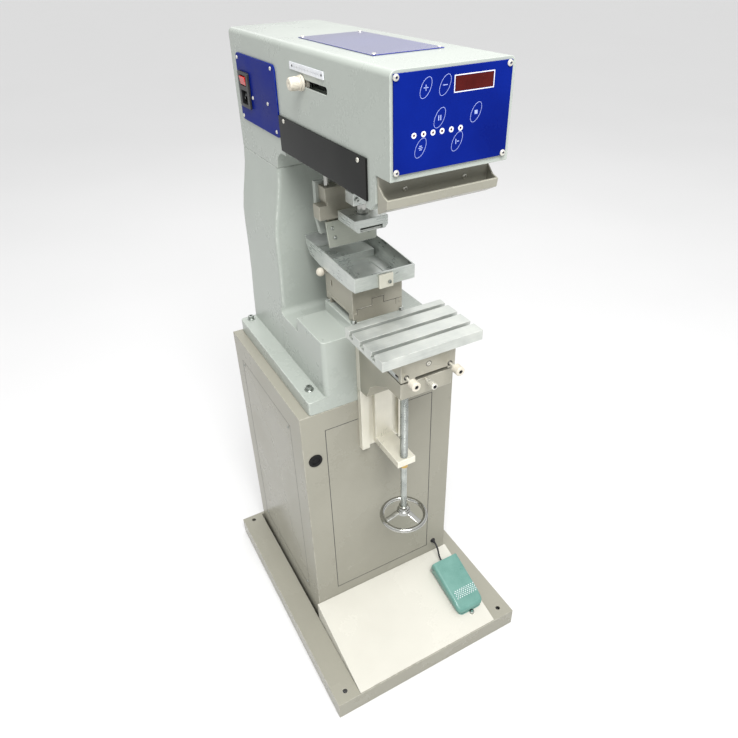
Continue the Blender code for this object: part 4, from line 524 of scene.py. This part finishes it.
film_face_y = -303.3
key_half_length, key_half_height, key_line, print_flatness = 13, 6.8, 0.3, 0.3
key_tilt = math.radians(62)
print_top_y, print_back_y = -303.42, -303.15
lamp_z = 1222.1
keys = bmesh.new()
symbols = bmesh.new()
key_marks = {
    (-45, 1276.3): ((-3.5, -0.5, 3.5, 0.5), (-0.5, -3.5, 0.5, 3.5)),
    (-16.7, 1276.6): ((-3.5, -0.5, 3.5, 0.5),),
    (-23.4, 1238.8): ((-2.2, -3.2, -0.9, 3.2), (0.9, -3.2, 2.2, 3.2)),
    (33, 1238.7): ((-2.4, -2.4, 2.4, 2.4),),
    (-51.4, 1205.6): ((-3.2, -0.5, 3.2, 0.5), (-2, 1.8, 2, 2.8), (-2, -2.8, 2, -1.8)),
    (5, 1205.9): ((-2.4, -3.2, -1.2, 3.2), (0, -0.6, 3.2, 0.6)),
}
for (x, z), marks in key_marks.items():
    place = at(x, film_face_y, z)
    hoop(keys, place, front, key_half_length, key_half_height, key_line, tilt=key_tilt, flat=print_flatness)
    for first_x, first_z, last_x, last_z in marks:
        bar(symbols, (x + first_x, print_top_y, z + first_z), (x + last_x, print_back_y, z + last_z), 0.1)
piece("printed_keys", keys, pale_ink, "frame", "white_plastic")
piece("key_symbols", symbols, pale_ink, "frame", "white_plastic")
lamps = bmesh.new()
lenses = bmesh.new()
for x in (-61.4, -47.1, -32.9, -19.1, -4.8, 9.6):
    place = at(x, film_face_y, lamp_z)
    hoop(lamps, place, front, 2.6, 2.6, 1.1, flat=print_flatness, steps=24)
    turned(lenses, place, front, [(-0.3, 1.5), (0.1, 1.5), (0.25, 0.8)], 16)
piece("lamp_bezels", lamps, white_print_and_highlight, "frame", "white_plastic")
red_window = finish(
    "red_display", shade(76, 17, 14), shade(60, 10, 9), 0.2, patch=30, depth=0.01, speck=0.2, shine=0.15,
)
piece("lamp_lenses", lenses, red_window, "frame", "red_display")
bm = bmesh.new()
bar(bm, (-2.2, -303.4, 1266.6), (58, -300.4, 1285.4), 0.8)
piece("counter_window", bm, red_window, "frame", "red_display", "display_window")
bm = bmesh.new()
for low, high in (
    ((-3.2, 1265.6), (59, 1266.8)), ((-3.2, 1285.2), (59, 1286.4)),
    ((-3.2, 1266.2), (-2, 1285.8)), ((57.8, 1266.2), (59, 1285.8)),
):
    bar(bm, (low[0], -303.5, low[1]), (high[0], -303.1, high[1]), 0.2)
piece("display_border", bm, white_print_and_highlight, "frame", "white_plastic")
bm = bmesh.new()
for x in (-87.6, 82.4):
    for z in (1179.5, 1292):
        button_screw(bm, at(x, film_face_y, z), front, 4.4)
piece("panel_screws", bm, nickel, "frame", "zinc_steel")

# Cover plate on the hood
# A thin aluminium plate on the hood's top with a glossier film of the same blue. Four small button-head screws hold
# it at its corners.
gloss_film = finish(
    "cover_film", shade(28, 44, 150), shade(20, 34, 134), 0.16,
    patch=9, grain=(500, 500, 500), depth=0.01, scuffed_and_highlit=shade(80, 98, 176), coat=1.0, speck=0.2,
)
bm = bmesh.new()
plate_top_z = 1301.4
bar(bm, (-57, -192, 1300.2), (57, 52, plate_top_z), 0.35)
piece("cover_plate", bm, gloss_film, "frame", "blue_panel", "top_plate")
bm = bmesh.new()
for x in (-52, 52):
    for y in (-187, 47):
        button_screw(bm, at(x, y, plate_top_z), up, 3.4)
piece("cover_screws", bm, nickel, "frame", "zinc_steel")

# Mains inlet
# A blue film panel on the hood's left side, with a moulded inlet that has a three-pin socket and a red rocker. The
# module snaps into the panel; the six screws go into the hood.
dressed("inlet_panel", blue_film, 0.6)
black_moulding = finish(
    "black_plastic", shade(44, 44, 45), shade(30, 30, 31), 0.42, patch=40, grain=(900, 900, 900), depth=0.03,
)
dressed("power_inlet", black_moulding, 0.5)
red_moulding = finish("red_plastic", shade(200, 32, 28), shade(176, 24, 22), 0.28, patch=60, depth=0.01, coat=0.3)
dressed("rocker_switch", red_moulding, 0.5)
bright_steel = finish(
    "ground_steel", shade(206, 207, 206), shade(168, 170, 171), 0.24, metal=1.0,
    patch=20, grain=(1200, 30, 1200), depth=0.02, scuffed_and_highlit=shade(232, 232, 231),
)
bm = bmesh.new()
for y, z in ((218, 1187), (232, 1187), (225, 1193)):
    bar(bm, (-98.5, y - 1, z - 2.2), (-86, y + 1, z + 2.2), 0.3)
piece("inlet_pins", bm, bright_steel, "frame", "ground_steel")

# Smoked window and stroke scale
# A smoked acrylic strip covers the stroke's window in the hood's left side. Above it two dark screws hold a thin
# printed strip with a line for each five millimetres of stroke.
smoked = finish(
    "smoked_acrylic", shade(26, 27, 25), shade(17, 18, 17), 0.05, patch=12, depth=0.005, speck=0.1, shine=0.1,
)
dressed("side_window", smoked, 0.7)
dressed("scale_plate", white_print_and_highlight, 0.3)
scale_face_x = -96.2
scale_start_y = -105
scale_pitch = 5
scale_z = 1270
half_line = 0.25
bm = bmesh.new()
# The screws come first: faces made after a bevel are stored in an order that changes from run to run.
for y in (-7, -112):
    turned(bm, at(scale_face_x, y, 1270.5), left, [(-0.2, 1.8), (0.3, 1.8), (0.8, 1.2)], 20)
for step in range(19):
    tall = 1.6 if step % 2 == 0 else 0.9
    y = scale_start_y + scale_pitch * step
    bar(bm, (-96.42, y - half_line, scale_z - tall), (scale_face_x, y + half_line, scale_z + tall), 0.05)
piece("scale_lines", bm, black_moulding, "frame", "black_plastic")

# Stroke stop
# A turned stud of white plastic slides in the slot in the hood's side and stops the carriage's stroke. The knurled
# knob on it clamps it where it stands.
cream = finish(
    "white_plastic", shade(206, 200, 186), shade(192, 186, 171), 0.4,
    patch=50, grain=(500, 500, 500), depth=0.02, scuffed_and_highlit=shade(224, 219, 206), speck=0.3, shine=0.4,
)
stop_y, stop_z = -38, 1250.2
stud = [(-8.8, 9.6), (-8.4, 10), (-4.2, 10), (-3.8, 9.6), (-3.8, 4.8), (0, 4.8), (0, 11.1), (0.4, 11.5)]
stud += [(3.4, 11.5), (4, 10.9), (4, 4), (9.9, 4)]
stud_place = at(-94.9, stop_y, stop_z)
turned_piece("stroke_stud", stud_place, left, stud, 48, cream, "stroke_stop", "white_plastic", "stroke_slider")
grip = [(0, 10), (0.5, 10.8), (2, 10.8), (2.4, 9.4), (5.4, 9.4), (5.6, 10, 0.0), (6.2, 10.3, 0.6), (16, 9.6, 0.6)]
grip += [(16.6, 9.2, 0.0), (17.7, 8.4), (18, 7.6), (18, 3.4), (17.2, 3)]
grip_place = at(-99.2, stop_y, stop_z)
turned_piece(
    "stroke_grip_finished", grip_place, left, grip, 60, cream, "stroke_grip", "white_plastic", "stroke_knob",
)

# Rods and cylinder in the hood
# Two hard-chromed guide rods run the hood's length, held in its end walls. The air cylinder for the travel, of
# milled aluminium, lies between them at the back.
hard_chrome = finish(
    "chrome", shade(182, 182, 177), shade(166, 167, 163), 0.14, metal=1.0,
    patch=25, grain=(600, 600, 600), depth=0.005, scuffed_and_highlit=shade(244, 244, 244),
)
guide_rod = [(0, 6), (1, 7), (586.4, 7), (587.4, 6)]
for cad_node, x in (("guide_rod_left", -45), ("guide_rod_right", 45)):
    rod_end = at(x, -296.7, 1220)
    turned_piece(f"{cad_node}_finished", rod_end, back, guide_rod, 40, hard_chrome, "frame", "chrome", cad_node)
milled = finish(
    "machined_aluminium", shade(204, 207, 201), shade(178, 182, 177), 0.38, metal=0.6,
    patch=30, grain=(24, 600, 600), depth=0.008, scuffed_and_highlit=shade(228, 229, 224),
)
dressed("travel_cylinder", milled, 0.8)

# Carriage, pad cylinder and ram
# A milled aluminium carriage on the two rods, with the pad's air cylinder under it. The chromed ram comes out of the
# cylinder, and a split clamp and a slotted block on the ram take the pad's wooden foot.
cool_alloy = finish(
    "turned_aluminium", shade(206, 210, 205), shade(174, 180, 176), 0.3, metal=0.65,
    patch=22, grain=(60, 60, 400), depth=0.01, scuffed_and_highlit=shade(214, 218, 214),
)
for cad_node in ("carriage", "pad_cylinder", "ram_clamp", "pad_block"):
    dressed(cad_node, cool_alloy, 0.8)
bm = bmesh.new()
bar(bm, (-16.8, -72, 1006.2), (16.8, -8, 1008.3), 0.2)
bar(bm, (-21, -71, 1008.2), (21, -8, 1010.4), 0.3)
piece("pad_foot_plate", bm, milled, "ram", "machined_aluminium")
ram = [(0, 10), (1, 11), (159.4, 11), (160.4, 10)]
turned_piece("pad_ram_finished", at(0, -40, 1029.3), up, ram, 48, hard_chrome, "ram", "chrome", "pad_ram")
bm = bmesh.new()
for x in (-18, 18):
    cap_screw(bm, at(x, -55, 1059), front, 4.2, 4)
piece("ram_clamp_screws", bm, zinc, "ram", "zinc_steel")

# Doctor blade unit
# A bent plate under the carriage's back carries two chromed rods. On them slides the blade's cast holder, and the
# thin doctor blade that scrapes the ink off is clamped in its leaning steel plate.
dressed("blade_bracket", cool_lit_casting_paint, 1.2)
blade_rod = [(0, 4), (0.5, 4.5), (158.9, 4.5), (159.4, 4)]
for cad_node, x in (("blade_rod_left", -40), ("blade_rod_right", 40)):
    rod_foot = at(x, 19, 1045.3)
    turned_piece(
        f"{cad_node}_finished", rod_foot, up, blade_rod, 32, hard_chrome, "head_carriage", "chrome", cad_node,
    )
cast_alloy = finish(
    "cast_aluminium", shade(169, 166, 152), shade(156, 153, 140), 0.4, metal=0.45,
    patch=18, grain=(300, 300, 300), depth=0.02, scuffed_and_highlit=shade(220, 218, 206), speck=0.3,
)
dressed("blade_carrier", cast_alloy, 0.8)
blade_steel = finish(
    "blade_steel", shade(186, 190, 178), shade(170, 175, 163), 0.36, metal=0.5,
    patch=20, grain=(30, 700, 700), depth=0.01, scuffed_and_highlit=shade(222, 224, 214), speck=0.4,
)
dressed("blade_plate", blade_steel, 0.6)
dressed("doctor_blade", bright_steel, 0.15)
blade_out = Vector((0, -0.9689, 0.2477))
plate_foot_y, plate_foot_z = -0.2, 957.3
plate_lean = 0.2556
bm = bmesh.new()
for x, z in ((-38, 991), (38, 991), (-35, 974), (35, 974)):
    button_screw(bm, at(x, plate_foot_y + plate_lean * (z - plate_foot_z), z), blade_out, 3.7)
piece("blade_screws", bm, zinc, "blade", "zinc_steel")

# Slide base and ink tray
# The slide base is milled from aluminium and bolted on the casting's boss. The tray's slide runs on its dovetail, and
# the open ink tray on it has sloping walls. A ball-ended lever at its left side works the tray's clamp.
plain_alloy = finish(
    "planed_aluminium", shade(222, 219, 205), shade(208, 205, 191), 0.36, metal=0.3,
    patch=18, grain=(600, 600, 24), depth=0.01, scuffed_and_highlit=shade(236, 234, 224), speck=0.4,
)
dressed("tray_clamp", plain_alloy, 0.6)
for cad_node in ("slide_base", "tray_slide"):
    dressed(cad_node, cast_alloy, 0.6)
dressed("ink_tray", cool_alloy, 0.6)
bm = bmesh.new()
for low, high in (
    ((-43.3, 857), (-42.7, 868.8)), ((-43.3, 868.2), (-12, 868.8)), ((-12.6, 868.2), (-12, 883.4)),
    ((-12.6, 882.8), (13, 883.4)), ((12.4, 869.6), (13, 883.4)), ((12.4, 869.6), (51, 870.2)),
    ((38.3, 858), (38.9, 870)),
):
    bar(bm, (low[0], -89.15, low[1]), (high[0], -88.9, high[1]), 0.05)
piece("slide_gib_seam", bm, black_moulding, "frame", "black_plastic")
bm = bmesh.new()
for x, y in ((-50, -86.5), (50, -86.5), (-50.5, 16)):
    cap_screw(bm, at(x, y, 842), up, 5.5, 6.5)
piece("slide_base_screws", bm, zinc, "frame", "zinc_steel")
bm = bmesh.new()
cap_screw(bm, at(6, -122.8, 927.5), front, 3.4, 3.2)
piece("tray_clamp_screw", bm, zinc, "tray", "zinc_steel")
ball_radius = 8.5
ball_steps = 15
lever = [(-26, 3), (-7.6, 3)]
for step in range(1, ball_steps):
    angle = math.pi * (0.12 + 0.88 * step / ball_steps)
    lever.append((-ball_radius * math.cos(angle), ball_radius * math.sin(angle)))
ball_place = at(-64, 18, 906.2)
turned_piece(
    "ball_knob_finished", ball_place, left, lever, 40, cream, "ball", "white_plastic", "ball_knob", sharp=50,
)

# Knee, its guide and the lead screw
# The knee slides on a dovetailed guide screwed to the cabinet's front. A zinc-plated screw with a 4 mm thread stands
# on the guide's shelf and lifts the knee through a brass nut; a chromed handwheel below turns it.
dressed("knee_guide", plain_alloy, 0.7)
dressed("knee", cast_alloy, 0.9)
brass = finish(
    "brass", shade(206, 178, 118), shade(178, 148, 88), 0.28, metal=1.0,
    patch=60, grain=(600, 600, 600), depth=0.02, scuffed_and_highlit=shade(226, 204, 150),
)
dressed("knee_nut", brass, 0.4)
dressed("screw_collar", brass, 0.4)
screw_y = -184
screw_sides = 32
shank_radius = 6.5
thread_pitch = 4.0
thread_low_z = 566.8
thread_root_radius = 7.1
thread_height = 0.9
row_rise = 0.5
bm = bmesh.new()
rows = []
heights = [(408.5, 5.7), (409.3, shank_radius), (566.7, shank_radius)]
heights += [(thread_low_z + row_rise * step, None) for step in range(508)]
heights += [(821.0, 6.6), (821.8, 6.2)]
for z, radius in heights:
    row = []
    for step in range(screw_sides):
        angle = math.tau * step / screw_sides
        reach = radius
        if radius is None:
            phase = (z / thread_pitch - step / screw_sides) % 1.0
            flank = min(1.0, max(0.0, 2.2 - 6.0 * abs(phase - 0.5)))
            reach = thread_root_radius + thread_height * flank
        row.append(bm.verts.new(at(reach * math.cos(angle), screw_y + reach * math.sin(angle), z)))
    rows.append(row)
skin(bm, rows)
piece("lead_screw_finished", bm, zinc, "screw", "zinc_steel", "lead_screw", sharp=60)
rim_z = 400.2
rim_radius = 46.5
rim_thickness = 5
hub = [(7, 8), (7, 13.2), (8, 14.2), (16, 14.2), (17, 13.4), (17.6, 12), (21.4, 11.4), (22.4, 10.4), (27.4, 10)]
hub += [(28, 9.2), (28, 6.9)]
spoke_stations = ((9, 12.5, 13), (16, 11, 12), (26, 6.5, 11), (36, 2.2, 11), (46, 0, 13))
bm = bmesh.new()
hoop(bm, at(0, screw_y, rim_z), up, rim_radius, rim_radius, rim_thickness, steps=96, across=18)
turned(bm, at(0, screw_y, rim_z), up, hub, 48)
for turn in (-64.4, 55.6, 175.6):
    way = Vector((math.cos(math.radians(turn)), math.sin(math.radians(turn)), 0))
    aside = way.cross(up) / 1000
    rows = []
    for reach, rise, wide in spoke_stations:
        middle = at(0, screw_y, rim_z + rise) + way * reach / 1000
        half, flat = wide / 2, wide / 3
        shape = [(-half, -0.9), (-half, 0.9), (-flat, 1.9), (flat, 1.9)]
        shape += [(half, 0.9), (half, -0.9), (flat, -1.9), (-flat, -1.9)]
        rows.append([bm.verts.new(middle + aside * along + up * lift / 1000) for along, lift in shape])
    skin(bm, rows)
piece("handwheel_finished", bm, hard_chrome, "screw", "chrome", "handwheel", sharp=40)

# Cross slide and T-slot table
# The cross slide moves the table to and from the column on the knee's top, and the table slide moves it sideways. The
# table has three T-slots for the fixture. Two knurled plastic screws clamp the slides, a steel one locks the knee.
dressed("cross_slide", bright_steel, 0.5)
dressed("table_slide", cast_alloy, 0.8)
bm = bmesh.new()
cap_screw(bm, at(0, -261.2, 835), front, 4.4, 1.3)
piece("table_stop_screw", bm, nickel, "table", "zinc_steel")
bm = bmesh.new()
for x, z, radius in ((0, 835, 5), (-43.8, 820.8, 4.6), (43.8, 820.8, 4.6)):
    hoop(bm, at(x, -262, z), front, radius, radius, 0.5, flat=0.5, steps=32)
piece("screw_hole_rims", bm, black_moulding, "table", "black_plastic")
dressed("t_slot_table", milled, 0.6)


socket_radius = 4
grip_knurl = 0.45


def grip_screw(name, centre, radius, length, standoff, stem, depth, paint, body, slot, cad_node):
    """A knurled clamp screw with a stem behind it and a six-sided socket in its face, lined black as painted shade.
    """
    stem_rings = [(-depth, stem), (standoff + 2, stem)]
    turned_piece(f"{name}_stem", centre, front, stem_rings, 24, nickel, body, "zinc_steel")
    end = standoff + length
    rings = [(standoff, 1.2), (standoff, radius - 0.8), (standoff + 0.6, radius, 0.0)]
    rings += [(standoff + 1, radius, grip_knurl), (end - 1.8, radius, grip_knurl), (end - 1.4, radius, 0.0)]
    rings += [(end - 0.4, radius - 0.7), (end, radius - 1.4)]
    rings += [(end, socket_radius, "hex"), (end - 4, socket_radius, "hex")]
    turned_piece(name, centre, front, rings, 60, paint, body, slot, cad_node)
    # A black hex lining in the socket: painted shade, for the dark inside the hole.
    socket_shade = [(end - 4.5, socket_radius, "hex"), (end - 0.4, 4.4), (end - 0.4, 2.3, "hex"), (end - 4, 2.2, "hex")]
    turned_piece(f"{name}_insert", centre, front, socket_shade, 24, black_moulding, body, "black_plastic")


for side, x in (("left", -43.8), ("right", 43.8)):
    grip_screw(
        f"thumbscrew_{side}_finished", at(x, -262, 820.8), 8.5, 15, 17, 2.6, 8, cream,
        f"thumb_{side}", "white_plastic", f"thumbscrew_{side}",
    )
grip_screw("lock_screw_finished", at(0, -257, 799), 6, 18, 8, 3, 13, nickel, "lock", "zinc_steel", "lock_screw")

# Foot pedal
# A folded steel treadle, hammered teal enamel, on a base of the same finish with a pin through its heel. Raised
# anti-slip dots stand in its tread, white as a painted highlight on their tops; the switch inside it starts the
# cycle.
hammered_teal = finish(
    "teal_enamel", shade(98, 143, 133), shade(84, 130, 120), 0.36,
    patch=30, grain=(420, 420, 420), depth=0.25, scuffed_and_highlit=shade(168, 200, 190), coat=0.3,
)
dressed("pedal_base", hammered_teal, 0.5)
dressed("pedal_treadle", hammered_teal, 0.5, sharp=50)
plate_angle = math.radians(13.97)
tread_way = Vector((0, math.cos(plate_angle), math.sin(plate_angle)))
tread_up = Vector((0, -math.sin(plate_angle), math.cos(plate_angle)))
tread_slope = 0.109
tread_out = (tread_up - tread_slope * tread_way).normalized()
toe_y, toe_z = -265.5, 58.6
first_row, dots_from_x, dots_to_x = 31, 121.5, 178.5
row_spacing, dot_spacing = 3.6, 6.6
dot = [(-0.3, 1.3), (0.2, 1.25), (0.4, 0.8)]
# The dots are raised; their white is a painted highlight on their tops, in the white print finish.
bm = bmesh.new()
for row in range(6):
    for step in range(9):
        along = first_row + row_spacing * row
        x = dots_from_x + dot_spacing * step + (dot_spacing / 2 if row % 2 else 0)
        if x < dots_to_x:
            rise = 27 + (along - 30) * tread_slope
            spot = at(x, toe_y, toe_z) + (along * tread_way + rise * tread_up) / 1000
            turned(bm, spot, tread_out, dot, 10)
piece("tread_dot_highlights", bm, white_print_and_highlight, "treadle", "white_plastic")
toe = [(0, 5.8), (6.9, 5.8), (7.4, 5.2), (7.4, 2.4), (6.4, 2.2)]
turned_piece("toe_stop", at(145, -269.4, 55), up, toe, 32, zinc, "frame", "zinc_steel")
pin = [(0, 2.1), (0.4, 2.5), (79.6, 2.5), (80, 2.1)]
pin_end = at(105, -149.0, 108.2)
turned_piece("pedal_pin_finished", pin_end, right, pin, 24, bright_steel, "frame", "ground_steel", "pedal_pin")

bpy.context.view_layer.update()
